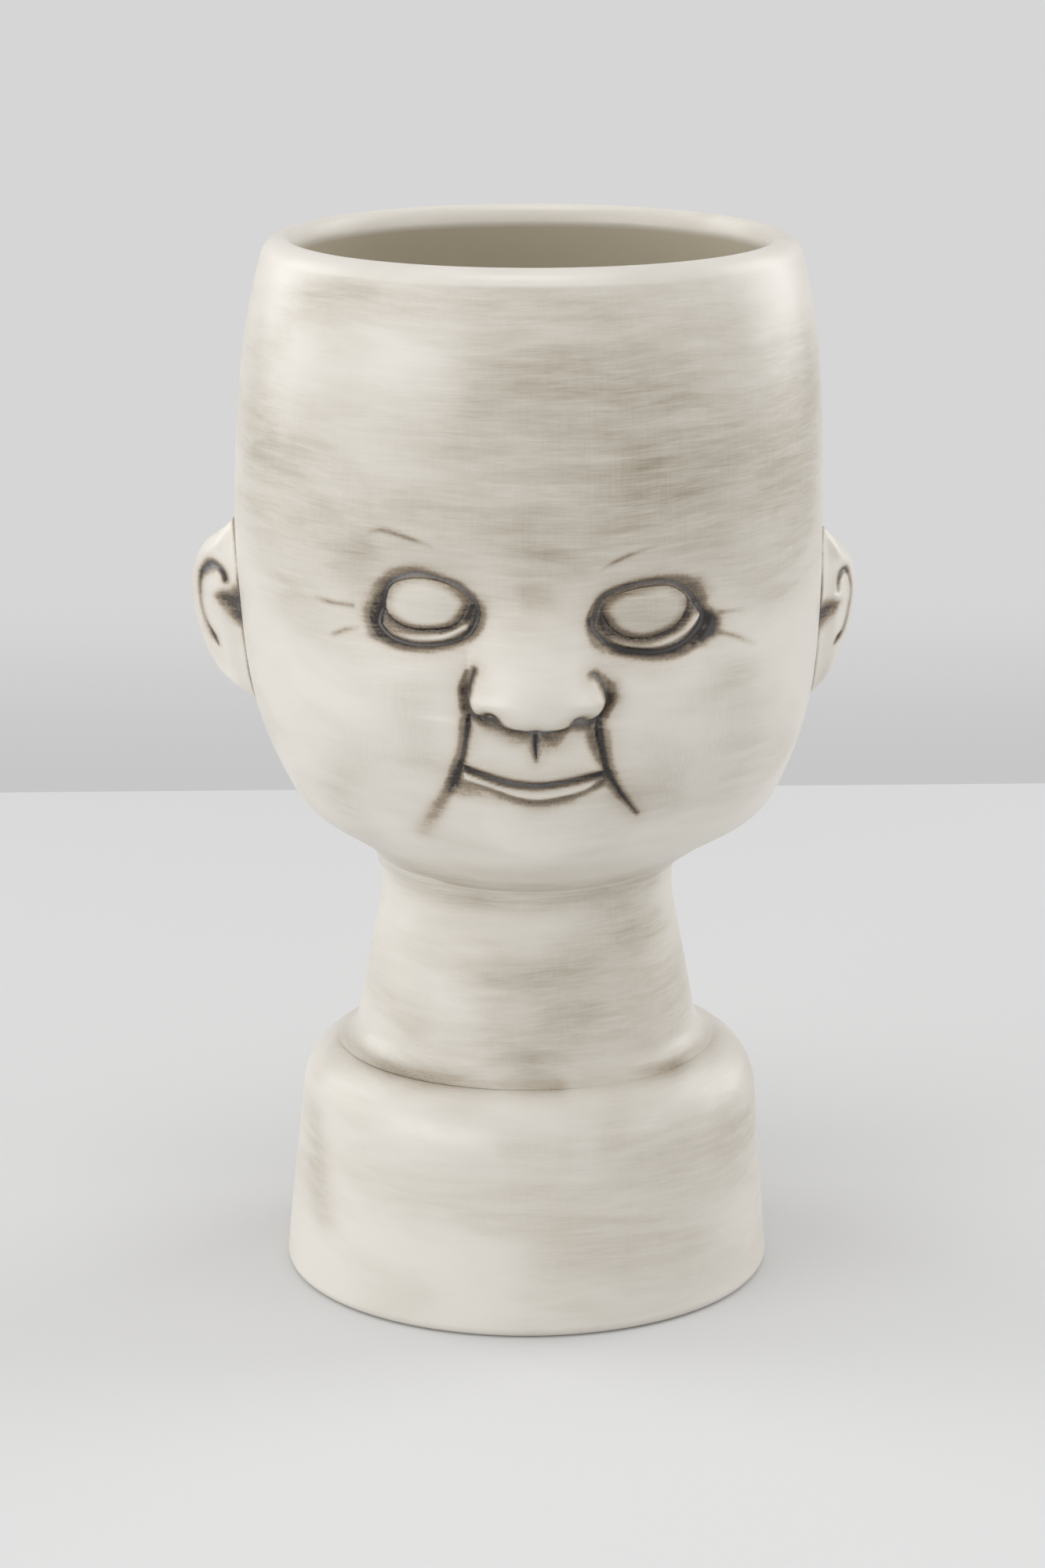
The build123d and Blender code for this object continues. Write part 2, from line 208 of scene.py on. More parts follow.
glaze = add(tree, "ShaderNodeBsdfPrincipled", {
    "Base Color": colour,
    "Roughness": roughness,
    "IOR": 1.5,
    "Coat Weight": 0.2,
    "Coat Roughness": 0.22,
    "Normal": bumps,
})
add(tree, "ShaderNodeOutputMaterial", {"Surface": glaze})
print("the glaze has", len(tree.nodes), "nodes")

# %% [markdown]
# ## The head's smooth form
# The cast head has no corners, so its form is drawn as ten level sections. Each is half an ellipse for the
# face and half for the back of the head, and a natural spline runs through them from the neck to the rim.
# One closed grid of points then covers the outside, the rolled lip, the inside and the joint with the neck.
# Its rows and columns lie half a millimetre apart on the face, where the creases are, and wider elsewhere.

# %% Sections of the head, in millimetres
HEAD_BASE = 113.7
HEAD_HEIGHT = 168.0
HALF_WIDTH = 77.8
FACE_DEPTH = 77.0
BACK_DEPTH = 85.0
NECK_TOP_RADIUS = 39.3
RIM_RADIUS = 69.6
WALL = 6.0
LIP_THICKNESS = 7.4
LIP_DEPTH = 5.2
LIP_OUTER_ROUND = 4.4
LIP_INNER_ROUND = 2.8
HEAD_TOP = HEAD_BASE + HEAD_HEIGHT
MOUTH_RADIUS = RIM_RADIUS - LIP_THICKNESS
PASSAGE_TOP = NECK_TOP_RADIUS - WALL
# Share of the height, then how much of the full half width, face depth and back depth is reached there,
# counted from the radius of the neck for the jaw and from the radius of the rim for the crown.
JAW_ROWS = [
    (0.048, 0.226, 0.289, 0.154),
    (0.090, 0.517, 0.602, 0.349),
    (0.143, 0.697, 0.796, 0.535),
    (0.244, 0.873, 0.933, 0.740),
    (0.369, 0.964, 0.978, 0.907),
    (0.536, 1.000, 0.982, 1.000),
]
CROWN_ROWS = [
    (0.756, 0.858, 0.938, 0.806),
    (0.893, 0.526, 0.584, 0.420),
]


def spline(knots, values, where):
    """Natural cubic spline through values at knots."""
    knots = np.asarray(knots, float)
    values = np.asarray(values, float)
    gaps = np.diff(knots)
    rises = np.diff(values) / gaps
    system = np.eye(len(knots))
    pull = np.zeros(len(knots))
    for k in range(1, len(knots) - 1):
        system[k, k - 1:k + 2] = gaps[k - 1], 2 * (gaps[k - 1] + gaps[k]), gaps[k]
        pull[k] = 6 * (rises[k] - rises[k - 1])
    bend = np.linalg.solve(system, pull)
    k = np.clip(np.searchsorted(knots, where) - 1, 0, len(gaps) - 1)
    left = where - knots[k]
    right = knots[k + 1] - where
    curved = (bend[k] * right ** 3 + bend[k + 1] * left ** 3) / (6 * gaps[k])
    straight = (values[k] / gaps[k] - bend[k] * gaps[k] / 6) * right
    return curved + straight + (values[k + 1] / gaps[k] - bend[k + 1] * gaps[k] / 6) * left


def outer_rows():
    """Height, half width, face depth and back depth of each section."""
    rows = [(HEAD_BASE, NECK_TOP_RADIUS, NECK_TOP_RADIUS, NECK_TOP_RADIUS)]
    for end_radius, form in ((NECK_TOP_RADIUS, JAW_ROWS), (RIM_RADIUS, CROWN_ROWS)):
        for up, *shares in form:
            full_sizes = (HALF_WIDTH, FACE_DEPTH, BACK_DEPTH)
            sizes = [end_radius + s * (full - end_radius) for s, full in zip(shares, full_sizes)]
            rows.append((HEAD_BASE + up * HEAD_HEIGHT, *sizes))
    rows.append((HEAD_TOP, RIM_RADIUS, RIM_RADIUS, RIM_RADIUS))
    return np.array(rows)


def inner_rows(rows):
    """The sections moved inwards by the wall, square to the surface, from the neck's passage to the lip."""
    inner = [(HEAD_BASE + WALL, PASSAGE_TOP, PASSAGE_TOP, PASSAGE_TOP)]
    for below, row, above in zip(rows, rows[1:], rows[2:]):
        rise = above[0] - below[0]
        spread = above[1] - below[1]
        slope = np.hypot(rise, spread)
        inner.append((row[0] + WALL * spread / slope, *(row[1:] - WALL * rise / slope)))
    inner.append((HEAD_TOP - LIP_DEPTH, MOUTH_RADIUS, MOUTH_RADIUS, MOUTH_RADIUS))
    return np.array(inner)


def sections(rows, heights):
    """Half width, face depth and back depth at any heights."""
    return np.array([spline(rows[:, 0], rows[:, k], heights) for k in (1, 2, 3)])


head_outer = outer_rows()
head_inner = inner_rows(head_outer)
print("head sections:", len(head_outer), "outside,", len(head_inner), "inside")

# %% Rows and columns of the grid: gaps and heights in millimetres, turns in degrees from the nose
FINE_GAP = 0.46
COARSE_GAP = 3.2
COARSE_TURN = 3.6
FACE_TURN = 40
FACE_LOW = 128
FACE_HIGH = 218
TRIAL_PLACES = 4001
EASING = 6
LIP_STEPS = 9
HOLLOW_ROWS = 40
HOLLOW_CROWDING = 1.35


def stations(start, stop, fine_from, fine_to, fine, coarse):
    """Places from start to stop, close together in the fine stretch and wide apart beyond it."""
    trial = np.linspace(start, stop, TRIAL_PLACES)
    beyond = np.maximum(np.maximum(fine_from - trial, trial - fine_to), 0)
    gaps = fine + (coarse - fine) * np.clip(beyond / (EASING * coarse), 0, 1)
    count = np.concatenate([[0], np.cumsum(np.diff(trial) / gaps[1:])])
    return np.interp(np.linspace(0, count[-1], int(count[-1]) + 1), count, trial)


fine_turn = np.degrees(FINE_GAP / FACE_DEPTH)
turns = np.radians(stations(-180, 180, -FACE_TURN, FACE_TURN, fine_turn, COARSE_TURN)[:-1])
lip_start = HEAD_TOP - LIP_OUTER_ROUND
wall_heights = stations(HEAD_BASE, lip_start, FACE_LOW, FACE_HIGH, FINE_GAP, COARSE_GAP)
wall = np.vstack([wall_heights, sections(head_outer, wall_heights)])

quarter = np.linspace(0, pi / 2, LIP_STEPS)
roll_heights = lip_start + LIP_OUTER_ROUND * np.sin(quarter[1:])
roll = np.vstack([roll_heights, sections(head_outer, roll_heights)])
roll[1:] -= LIP_OUTER_ROUND * (1 - np.cos(quarter[1:]))

drop_heights = HEAD_TOP - LIP_DEPTH * (1 - np.cos(quarter))
drop_radii = MOUTH_RADIUS + LIP_INNER_ROUND * (1 - np.sin(quarter))
drop = np.vstack([drop_heights, drop_radii, drop_radii, drop_radii])

hollow_share = np.linspace(0, 1, HOLLOW_ROWS)[1:] ** HOLLOW_CROWDING
hollow_heights = head_inner[-1, 0] + (head_inner[0, 0] - head_inner[-1, 0]) * hollow_share
hollow = np.vstack([hollow_heights, sections(head_inner, hollow_heights)])
passage = np.array([[HEAD_BASE] + 3 * [PASSAGE_TOP]]).T
rows = np.hstack([wall, roll, drop, hollow, passage])
print("head grid:", rows.shape[1], "rows of", len(turns), "points")

# %% Points of the smooth head, which leans a little to its own left by the sway at each height
SWAY_HEIGHTS = [113.7, 119.7, 128.7, 151.7, 206.7, 263.7, 281.7]
SWAY = [0.0, 2.0, 2.6, 1.7, 0.4, 1.1, 1.3]
FACE_SIDE = 76


def head_points(rows, turns):
    """Grid of points for rows of height and section, with the cast head's slight lean to its left."""
    height, wide, front, back = rows[:, :, None]
    deep = np.where(np.cos(turns) > 0, front, back)
    lean = np.interp(height, SWAY_HEIGHTS, SWAY)
    x = wide * np.sin(turns) + lean
    y = -deep * np.cos(turns)
    return np.stack([x, y, height + 0 * x], axis=-1)


grid = head_points(rows, turns)
around_step = np.roll(grid, -1, 1) - np.roll(grid, 1, 1)
along_step = np.roll(grid, -1, 0) - np.roll(grid, 1, 0)
normals = np.cross(around_step, along_step)
normals /= np.linalg.norm(normals, axis=-1, keepdims=True)
wall_rows = wall.shape[1]
on_outside = (np.arange(len(grid)) < wall_rows)[:, None]
on_face = on_outside & (grid[:, :, 1] < 0) & (np.abs(grid[:, :, 0]) < FACE_SIDE)
x, z = grid[on_face][:, 0], grid[on_face][:, 2]
print("points that carry the face:", len(x))

# %% [markdown]
# ## The face: soft forms
# A sculptor builds a face from big soft masses first: cheeks, muzzle, chin, hollows for the eyes. Here each
# mass is a smooth bump in the grid, measured in millimetres along the surface's own direction.
# The nose is one broad round bulb, as wide as its wings, that runs up into a soft ridge.

# %% Masses of the face: middle and reach, each as side and height, and how far it stands out
MASSES = [
    ((-33, 169.7), (20, 18), 3.0),
    ((33, 169.7), (20, 18), 3.0),
    ((0, 153.7), (17, 14), 2.2),
    ((0, 132.7), (15, 9), 3.0),
    ((-28, 197.7), (18, 12), -1.6),
    ((28, 195.7), (18, 12), -1.6),
    ((-28, 214.7), (16, 6), 0.8),
    ((28, 212.7), (16, 6), 0.8),
]
NOSE_TIP = 175.5
NOSE_REACH = 10.5
NOSE_HALF_WIDTH = 16.8
NOSE_UNDER = 7.8
NOSE_RUN = 27.0
NOSE_SPREAD = 2
NOSE_CORNER = 2.4
NOSE_BLUNT = 0.5
NOSE_THINS = 3
NOSTRILS = [(-11.6, 170.9), (10.2, 169.9)]
NOSTRIL_SIZE = (2.8, 2.2)
NOSTRIL_SINK = 0.9


def soft_step(low, high, value):
    """0 at low, 1 at high and a smooth S between them."""
    share = np.clip((value - low) / (high - low), 0, 1)
    return share * share * (3 - 2 * share)


def masses(x, z):
    """How far all masses together stand out."""
    total = 0
    for (middle_x, middle_z), (reach_x, reach_z), rise in MASSES:
        total = total + rise * np.exp(-((x - middle_x) / reach_x) ** 2 - ((z - middle_z) / reach_z) ** 2)
    return total


def nose(x, z):
    """Height of the nose: a round bulb that thins out into the bridge."""
    up = np.clip((z - NOSE_TIP) / NOSE_RUN, 0, 1)
    down = np.clip((NOSE_TIP - z) / NOSE_UNDER, 0, 1)
    across = np.abs(x) / (NOSE_HALF_WIDTH + NOSE_SPREAD * up)
    rounding = NOSE_BLUNT + NOSE_THINS * up
    mound = np.clip(1 - across ** NOSE_CORNER - down ** 2, 0, 1) ** rounding
    bulb = NOSE_REACH * (1 - soft_step(0, 1, up)) * mound
    for middle_x, middle_z in NOSTRILS:
        near = ((x - middle_x) / NOSTRIL_SIZE[0]) ** 2 + ((z - middle_z) / NOSTRIL_SIZE[1]) ** 2
        bulb = bulb * (1 - NOSTRIL_SINK * np.exp(-near))
    return bulb


relief = masses(x, z) + nose(x, z)
print("face stands out by", round(relief.max(), 1), "mm at most")

# %% [markdown]
# ## The face: lines
# The creases were pressed into the clay with a tool and hold the dark stain. Each is a smooth curve through
# a few points, given as millimetres from the middle and height above the floor. A point of the grid asks how
# far away the nearest place on the curve is: that one distance cuts the groove and paints the line.

# %% Distance from a drawn line


def drawn(points, closed=False, steps=10):
    """Smooth curve through points (Catmull-Rom), as many short steps."""
    points = np.array(points, float)
    if closed:
        points = np.vstack([points[-1], points, points[:2]])
    else:
        points = np.vstack([2 * points[0] - points[1], points, 2 * points[-1] - points[-2]])
    share = np.linspace(0, 1, steps, endpoint=False)[:, None]
    pieces = []
    for a, b, c, d in zip(points, points[1:], points[2:], points[3:]):
        bend = (2 * a - 5 * b + 4 * c - d) * share ** 2 + (3 * b - a - 3 * c + d) * share ** 3
        pieces.append(b + ((c - a) * share + bend) / 2)
    return np.vstack(pieces + [points[-2:-1]])


def nearest(line, x, z, reach=9.0):
    """Distance to a line, and the share along it of the nearest place. Far points keep the full reach."""
    distance = np.full(x.shape, reach)
    along = np.zeros(x.shape)
    low = line.min(0) - reach
    high = line.max(0) + reach
    close = (x > low[0]) & (x < high[0]) & (z > low[1]) & (z < high[1])
    spots = np.stack([x[close], z[close]], -1)
    best = distance[close]
    share = along[close]
    for k, (start, stop) in enumerate(zip(line, line[1:])):
        step = stop - start
        t = np.clip(((spots - start) @ step) / max(step @ step, 1e-9), 0, 1)
        gap = np.linalg.norm(spots - start - t[:, None] * step, axis=-1)
        share = np.where(gap < best, (k + t) / (len(line) - 1), share)
        best = np.minimum(best, gap)
    distance[close] = best
    along[close] = share
    return distance, along


def within(line, x, z):
    """True inside a closed line."""
    inside = np.zeros(x.shape, bool)
    for (x0, z0), (x1, z1) in zip(line, np.roll(line, -1, 0)):
        crosses = (z0 > z) != (z1 > z)
        at = x0 + (z - z0) * (x1 - x0) / (z1 - z0 if z1 != z0 else 1)
        inside ^= crosses & (x < at)
    return inside


print("a drawn line takes", len(drawn([(0, 0), (10, 0)])) - 1, "steps from one of its points to the next")

# %% Creases: points, half widths along the line, depth, and how grey the line is along it (pooled glaze, partly a painted reflection)
CREASES = {
    "right upper lid": (
        [(-39.5, 196.2), (-38.4, 200.9), (-36.1, 203.9), (-30.9, 205.9), (-25.3, 205.1),
         (-19.8, 203.3), (-16.0, 199.7), (-15.1, 196.9)],
        (1.3, 0.95, 0.8, 0.8, 0.95, 1.2), 1.1, (0.0, 0.5, 0.9, 0.9, 0.9, 0.6, 0.3)),
    "right lower lid": (
        [(-15.1, 196.9), (-15.8, 194.1), (-18.1, 190.8), (-23.4, 188.6), (-30.3, 187.8),
         (-36.3, 189.0), (-39.9, 192.3), (-39.5, 196.2)],
        (1.3, 1.5, 1.4, 1.2, 1.15, 1.2, 1.4, 1.6), 1.3, (0.3, 0.2, 0.15, 0.3, 0.3, 0.4, 0.3, 0.0)),
    "left upper lid": (
        [(14.0, 194.8), (16.6, 200.3), (22.3, 202.7), (29.2, 203.6), (35.4, 202.6), (39.7, 199.3),
         (41.0, 196.8)],
        (1.1, 1.0, 0.9, 0.9, 1.0, 1.1), 1.1, (0.4, 0.5, 0.6, 0.65, 0.65, 0.5, 0.3)),
    "left lower lid": (
        [(13.6, 194.8), (14.6, 191.6), (19.1, 187.9), (25.6, 186.1), (32.2, 185.7), (38.0, 187.6),
         (42.6, 192.1), (41.4, 196.5)],
        (1.1, 1.4, 1.6, 1.6, 1.6, 1.7, 1.3), 1.3, (0.5, 0.5, 0.15, 0.0, 0.0, 0.0, 0.2, 0.6)),
    "left eye corner": (
        [(41.6, 195.2), (44.2, 192.6), (44.4, 190.2), (41.6, 187.8)],
        (0.8, 2.1, 2.0, 1.4), 0.3, (0.0,)),
    "right wing": (
        [(-15.4, 182.7), (-17.0, 178.1), (-17.3, 175.2), (-16.3, 171.1), (-13.9, 170.5)],
        (0.7, 1.1, 1.1, 1.1), 1.2, (0.3, 0.5, 0.5, 0.2)),
    "left wing": (
        [(12.4, 182.0), (14.2, 181.5), (16.6, 177.0), (16.8, 174.1), (14.8, 169.8)],
        (0.6, 0.9, 1.1, 1.1), 1.2, (0.5, 0.6, 0.6, 0.1)),
    "under the nose": (
        [(-14.6, 170.5), (-12.8, 170.1), (-9.5, 169.7), (-5.6, 167.6), (-0.4, 166.5), (4.5, 167.1),
         (8.0, 168.5), (11.6, 168.5), (15.0, 170.0)],
        (1.1, 1.1, 1.0, 0.85, 0.85, 1.0, 1.1), 0.8, (0.2, 0.4, 0.6, 0.7, 0.5, 0.7, 0.3)),
    "right nostril": (
        [(-13.2, 170.4), (-12.0, 171.6), (-10.4, 171.0), (-8.8, 169.8)],
        (0.9,), 0.4, (0.5,)),
    "left nostril": (
        [(8.6, 169.0), (10.2, 170.2), (11.6, 169.4)],
        (1.0,), 0.4, (1.0,)),
    "notch": (
        [(-0.5, 167.1), (-0.5, 163.6), (-0.4, 159.9)],
        (1.4, 1.3, 0.1), 1.2, (0.0,)),
    "right fold": (
        [(-17.0, 170.7), (-17.2, 167.7), (-18.1, 161.3), (-19.1, 157.8), (-20.7, 152.3)],
        (1.2, 0.9, 0.65, 0.75, 1.3, 1.2), 1.3, (0.0, 0.2, 0.5, 0.3, 0.0)),
    "left fold": (
        [(15.0, 170.1), (15.3, 166.2), (16.1, 161.6), (17.6, 155.9), (21.5, 149.0), (25.4, 143.4)],
        (1.2, 1.4, 1.2, 1.3, 0.8, 0.2), 1.3, (0.0,)),
    "mouth": (
        [(-18.9, 157.4), (-14.3, 155.6), (-7.1, 153.6), (0.2, 152.9), (7.4, 153.7), (16.8, 155.5)],
        (0.9, 1.0, 1.0, 1.0, 0.9), 1.3, (0.1, 0.4, 0.7, 0.7, 0.4, 0.0)),
}
# Each halo of thin stain: how much wider it is than the line, and its strength.
HALOS = [(0.8, 0.6), (2.4, 0.2)]
# The grey in a line's middle is pooled glaze, partly a painted reflection of the light above.
POOL_FADES = 0.62
POOL_FROM = 0.7
POOL_WIDENS = 0.5
POOL_EDGE = 0.45


def along_line(values, along):
    """Value at each share along a line, from values that are spaced evenly on it."""
    return np.interp(along, np.linspace(0, 1, len(values)), values)


crease = np.zeros(len(x))
groove = np.zeros(len(x))
pool = np.zeros(len(x))
halo = np.zeros(len(x))
for points, widths, depth, greys in CREASES.values():
    distance, along = nearest(drawn(points), x, z)
    width = along_line(widths, along)
    core = np.clip(1 - distance / width, 0, 1)
    grey_here = along_line(greys, along)
    crease = np.maximum(crease, core * (1 - POOL_FADES * grey_here))
    in_pool = soft_step(0, POOL_EDGE, core - POOL_FROM + POOL_WIDENS * grey_here)
    pool = np.maximum(pool, grey_here * in_pool)
    for spread, strength in HALOS:
        halo = np.maximum(halo, strength * np.exp(-(distance / (width + spread)) ** 2))
    taper = np.clip(width / max(widths), 0, 1)
    groove = np.maximum(groove, depth * taper * np.exp(-(distance / width) ** 2))
print("creases:", len(CREASES))

# %% Sockets and lower lids
RIGHT_EYE = [(-38.4, 197.7), (-36.5, 202.6), (-30.2, 204.7), (-23.3, 203.8), (-18.4, 200.7), (-17.6, 198.3),
             (-20.5, 193.9), (-26.0, 192.2), (-32.6, 192.2), (-37.3, 194.6)]
LEFT_EYE = [(16.4, 196.2), (18.4, 199.9), (25.2, 202.1), (33.0, 202.2), (37.9, 199.4), (38.8, 196.5),
            (35.3, 191.8), (27.2, 189.3), (20.4, 191.1)]
LIDS = [
    ([(-38.0, 192.5), (-35.5, 190.6), (-29.6, 189.7), (-23.3, 190.5), (-18.1, 193.1)],
     (0.1, 0.3, 0.6, 1.0, 1.0)),
    ([(19.4, 189.5), (23.9, 188.0), (30.5, 187.8), (37.3, 190.5), (41.0, 194.2)], (0.4, 0.4, 0.45, 0.5, 0.5)),
]
LID_RISE = 1.2
LID_HALF_WIDTH = 0.8
SOCKET_SINK = 3.4
SOCKET_EDGE = 0.9
BALL_RING = 1.4
RING_ABOVE = 0.35
RING_FADES = (5, -3)

bare = np.zeros(len(x))
ring = np.zeros(len(x))
for lid, cleanness in LIDS:
    distance, along = nearest(drawn(lid), x, z)
    swell = np.exp(-(distance / LID_HALF_WIDTH) ** 2)
    relief = relief + LID_RISE * swell
    bare = np.maximum(bare, along_line(cleanness, along) * swell)
# A dark ring round each ball: stain in the gap and, where it is stronger below the ball, painted shade under
# it.
for eye in (RIGHT_EYE, LEFT_EYE):
    ball = drawn(eye, closed=True)
    to_ball = nearest(ball, x, z)[0]
    relief = relief - np.where(within(ball, x, z), SOCKET_SINK * soft_step(0, SOCKET_EDGE, to_ball), 0)
    below = soft_step(*RING_FADES, z - ball[:, 1].mean())
    strength = RING_ABOVE + (1 - RING_ABOVE) * below
    ring = np.maximum(ring, strength * np.exp(-(to_ball / BALL_RING) ** 2))
print("sockets go in by", round(-relief.min(), 1), "mm at most")

# %% The lower lip, and the step from cheek to mouth at each fold
LIP_EDGE = [(-16.7, 153.4), (-13.5, 152.4), (-9.9, 151.3), (-5.1, 149.7), (0.3, 149.0), (7.2, 150.0),
            (12.0, 151.3), (15.2, 153.2)]
LIP_RISE = 1.3
LIP_ROUNDNESS = 0.7
LIP_CORNERS = (0.3, 3.0)
LIP_CLEAN = 0.9
CLEAN_FROM_MOUTH = (0.6, 1.2)
CLEAN_FROM_EDGE = (0.7, 1.5)
CHEEK_STEP = 1.2
CHEEK_REACH = 16.0
CHEEK_SOFTNESS = 6.0
STEP_STARTS = (0, 0.15)
STEP_ENDS = (1, 0.75)

mouth_line = drawn(CREASES["mouth"][0])
lip_line = drawn(LIP_EDGE)
on_lip = within(np.vstack([mouth_line, lip_line[::-1]]), x, z)
to_mouth = nearest(mouth_line, x, z)[0]
to_edge = nearest(lip_line, x, z)[0]
lip = np.sin(pi * to_mouth / (to_mouth + to_edge + 1e-6)) ** LIP_ROUNDNESS
relief = relief + np.where(on_lip, LIP_RISE * lip * soft_step(*LIP_CORNERS, to_mouth + to_edge), 0)
wiped_lip = LIP_CLEAN * soft_step(*CLEAN_FROM_MOUTH, to_mouth) * soft_step(*CLEAN_FROM_EDGE, to_edge)
bare = np.maximum(bare, np.where(on_lip, wiped_lip, 0))
for fold, side in (("right fold", -1), ("left fold", 1)):
    fold_line = drawn(CREASES[fold][0])
    distance, along = nearest(fold_line, x, z, reach=CHEEK_REACH)
    fold_x = np.interp(z, fold_line[::-1, 1], fold_line[::-1, 0])
    outer = (x - fold_x) * side > 0
    at_ends = soft_step(*STEP_STARTS, along) * soft_step(*STEP_ENDS, along)
    step = CHEEK_STEP * np.exp(-distance / CHEEK_SOFTNESS) * at_ends
    relief = relief + np.where(outer & (distance < CHEEK_REACH), step, 0)
relief = relief - groove
print("deepest groove", round(groove.max(), 2), "mm")

# %% [markdown]
# ## The face: stain that was wiped, and painted shade under the eyeballs
# Beside the creases the stain was dragged out by the sponge. These are strokes too, wide and soft, each with
# its own width in millimetres and its strength. The brows and the small lines beside the eyes are thin ones.

# %% Smears: points, half widths and strengths along the stroke
# The first two strokes of each eye run under its ball: stain, and partly painted shade under the ball.
RIGHT_EYE_SMEARS = [
    ([(-24.0, 191.7), (-20.6, 193.1), (-17.6, 195.3), (-16.4, 198.3)],
     (0.9, 1.1, 1.2, 1.0), (0.6, 1.0, 1.0, 0.8)),
    ([(-39.0, 192.9), (-36.2, 190.9), (-32.5, 189.9)], (0.9, 0.9, 0.7), (0.5, 0.45, 0.2)),
    ([(-39.9, 199.3), (-40.4, 195.3), (-40.2, 192.6), (-38.6, 190.3)],
     (0.9, 1.5, 1.5, 1.1), (0.5, 1.0, 1.0, 0.7)),
    ([(-40.4, 198.4), (-40.9, 194.0), (-39.6, 190.2)], (1.0, 1.5, 1.3), (0.7, 1.0, 1.0)),
    ([(-41.2, 200.1), (-42.2, 195.1), (-41.0, 190.0)], (1.3, 1.8, 1.5), (0.15, 0.45, 0.45)),
    ([(-39.4, 189.3), (-36.3, 187.7), (-33.1, 186.9), (-26.0, 186.7)],
     (1.3, 1.0, 0.9, 0.7), (0.6, 0.6, 0.45, 0.1)),
    ([(-40.4, 201.7), (-36.4, 205.9), (-30.9, 207.3), (-24.0, 206.3)],
     (1.2, 1.0, 0.9), (0.3, 0.35, 0.3, 0.15)),
    ([(-13.6, 199.3), (-13.4, 195.7), (-14.6, 192.3), (-16.8, 189.9)], (0.9,), (0.15, 0.35, 0.35, 0.25)),
    ([(-44.0, 204.7), (-44.5, 196.7)], (4.5,), (0.12,)),
]
LEFT_EYE_SMEARS = [
    ([(16.0, 197.7), (16.4, 193.3), (19.0, 190.7), (23.0, 189.6)],
     (1.2, 1.5, 1.3, 0.9), (0.8, 1.0, 1.0, 0.9)),
    ([(30.0, 189.4), (36.4, 191.9), (39.6, 195.8)], (0.7, 0.9, 0.8), (0.4, 0.8, 0.8)),
    ([(41.2, 196.1), (43.4, 193.5), (44.6, 191.1)], (1.0, 1.7, 1.5), (1.0,)),
    ([(44.0, 193.1), (45.2, 191.1), (44.4, 189.6)], (1.2,), (1.0,)),
    ([(42.4, 191.1), (41.6, 188.9), (39.4, 187.3)], (1.6, 1.5, 1.1), (1.0,)),
    ([(30.2, 204.6), (36.2, 203.9), (39.7, 201.8), (42.4, 198.2)],
     (0.7, 1.3, 1.6, 1.3), (0.2, 0.55, 0.7, 0.55)),
    ([(41.5, 202.7), (44.6, 200.1)], (1.8, 1.4), (0.25, 0.15)),
    ([(40.0, 186.5), (34.0, 184.5), (27.0, 184.9), (18.6, 186.9)], (0.9, 0.7), (0.6, 0.45, 0.35, 0.35)),
    ([(15.4, 200.1), (13.3, 197.3), (12.7, 194.9), (13.2, 192.3)], (0.4, 0.45, 0.5), (0.3, 0.7, 0.8, 0.4)),
    ([(12.4, 193.7), (13.8, 189.3), (16.4, 186.9)], (0.9, 1.0, 0.8), (0.25, 0.35, 0.2)),
]
NOSE_SMEARS = [
    ([(-17.5, 182.1), (-18.6, 178.8), (-18.6, 175.6), (-18.1, 172.1)],
     (0.6, 0.85, 0.8, 0.8), (0.7, 0.95, 0.9, 0.8)),
    ([(16.4, 180.7), (18.3, 177.7), (18.2, 174.1), (16.8, 170.7)],
     (0.6, 1.0, 1.0, 0.7), (0.4, 0.75, 0.65, 0.55)),
    ([(19.4, 178.9), (19.6, 175.3)], (1.6,), (0.2,)),
    ([(-13.6, 169.7), (-9.5, 168.3), (-3.1, 165.5)], (1.2, 1.4, 1.2), (0.5, 0.5, 0.45)),
    ([(-12.0, 167.3), (-5.0, 164.3)], (1.8,), (0.15, 0.2)),
    ([(1.3, 165.7), (4.0, 165.1), (7.0, 167.1)], (1.3, 1.6, 0.9), (0.7, 0.7, 0.3)),
    ([(3.0, 163.3), (8.0, 163.5)], (2.6,), (0.22, 0.1)),
    ([(-3.0, 203.0), (1.4, 202.0)], (2.8,), (0.2, 0.16)),
    ([(-2.4, 198.6), (4.0, 198.6)], (2.4,), (0.1, 0.08)),
]
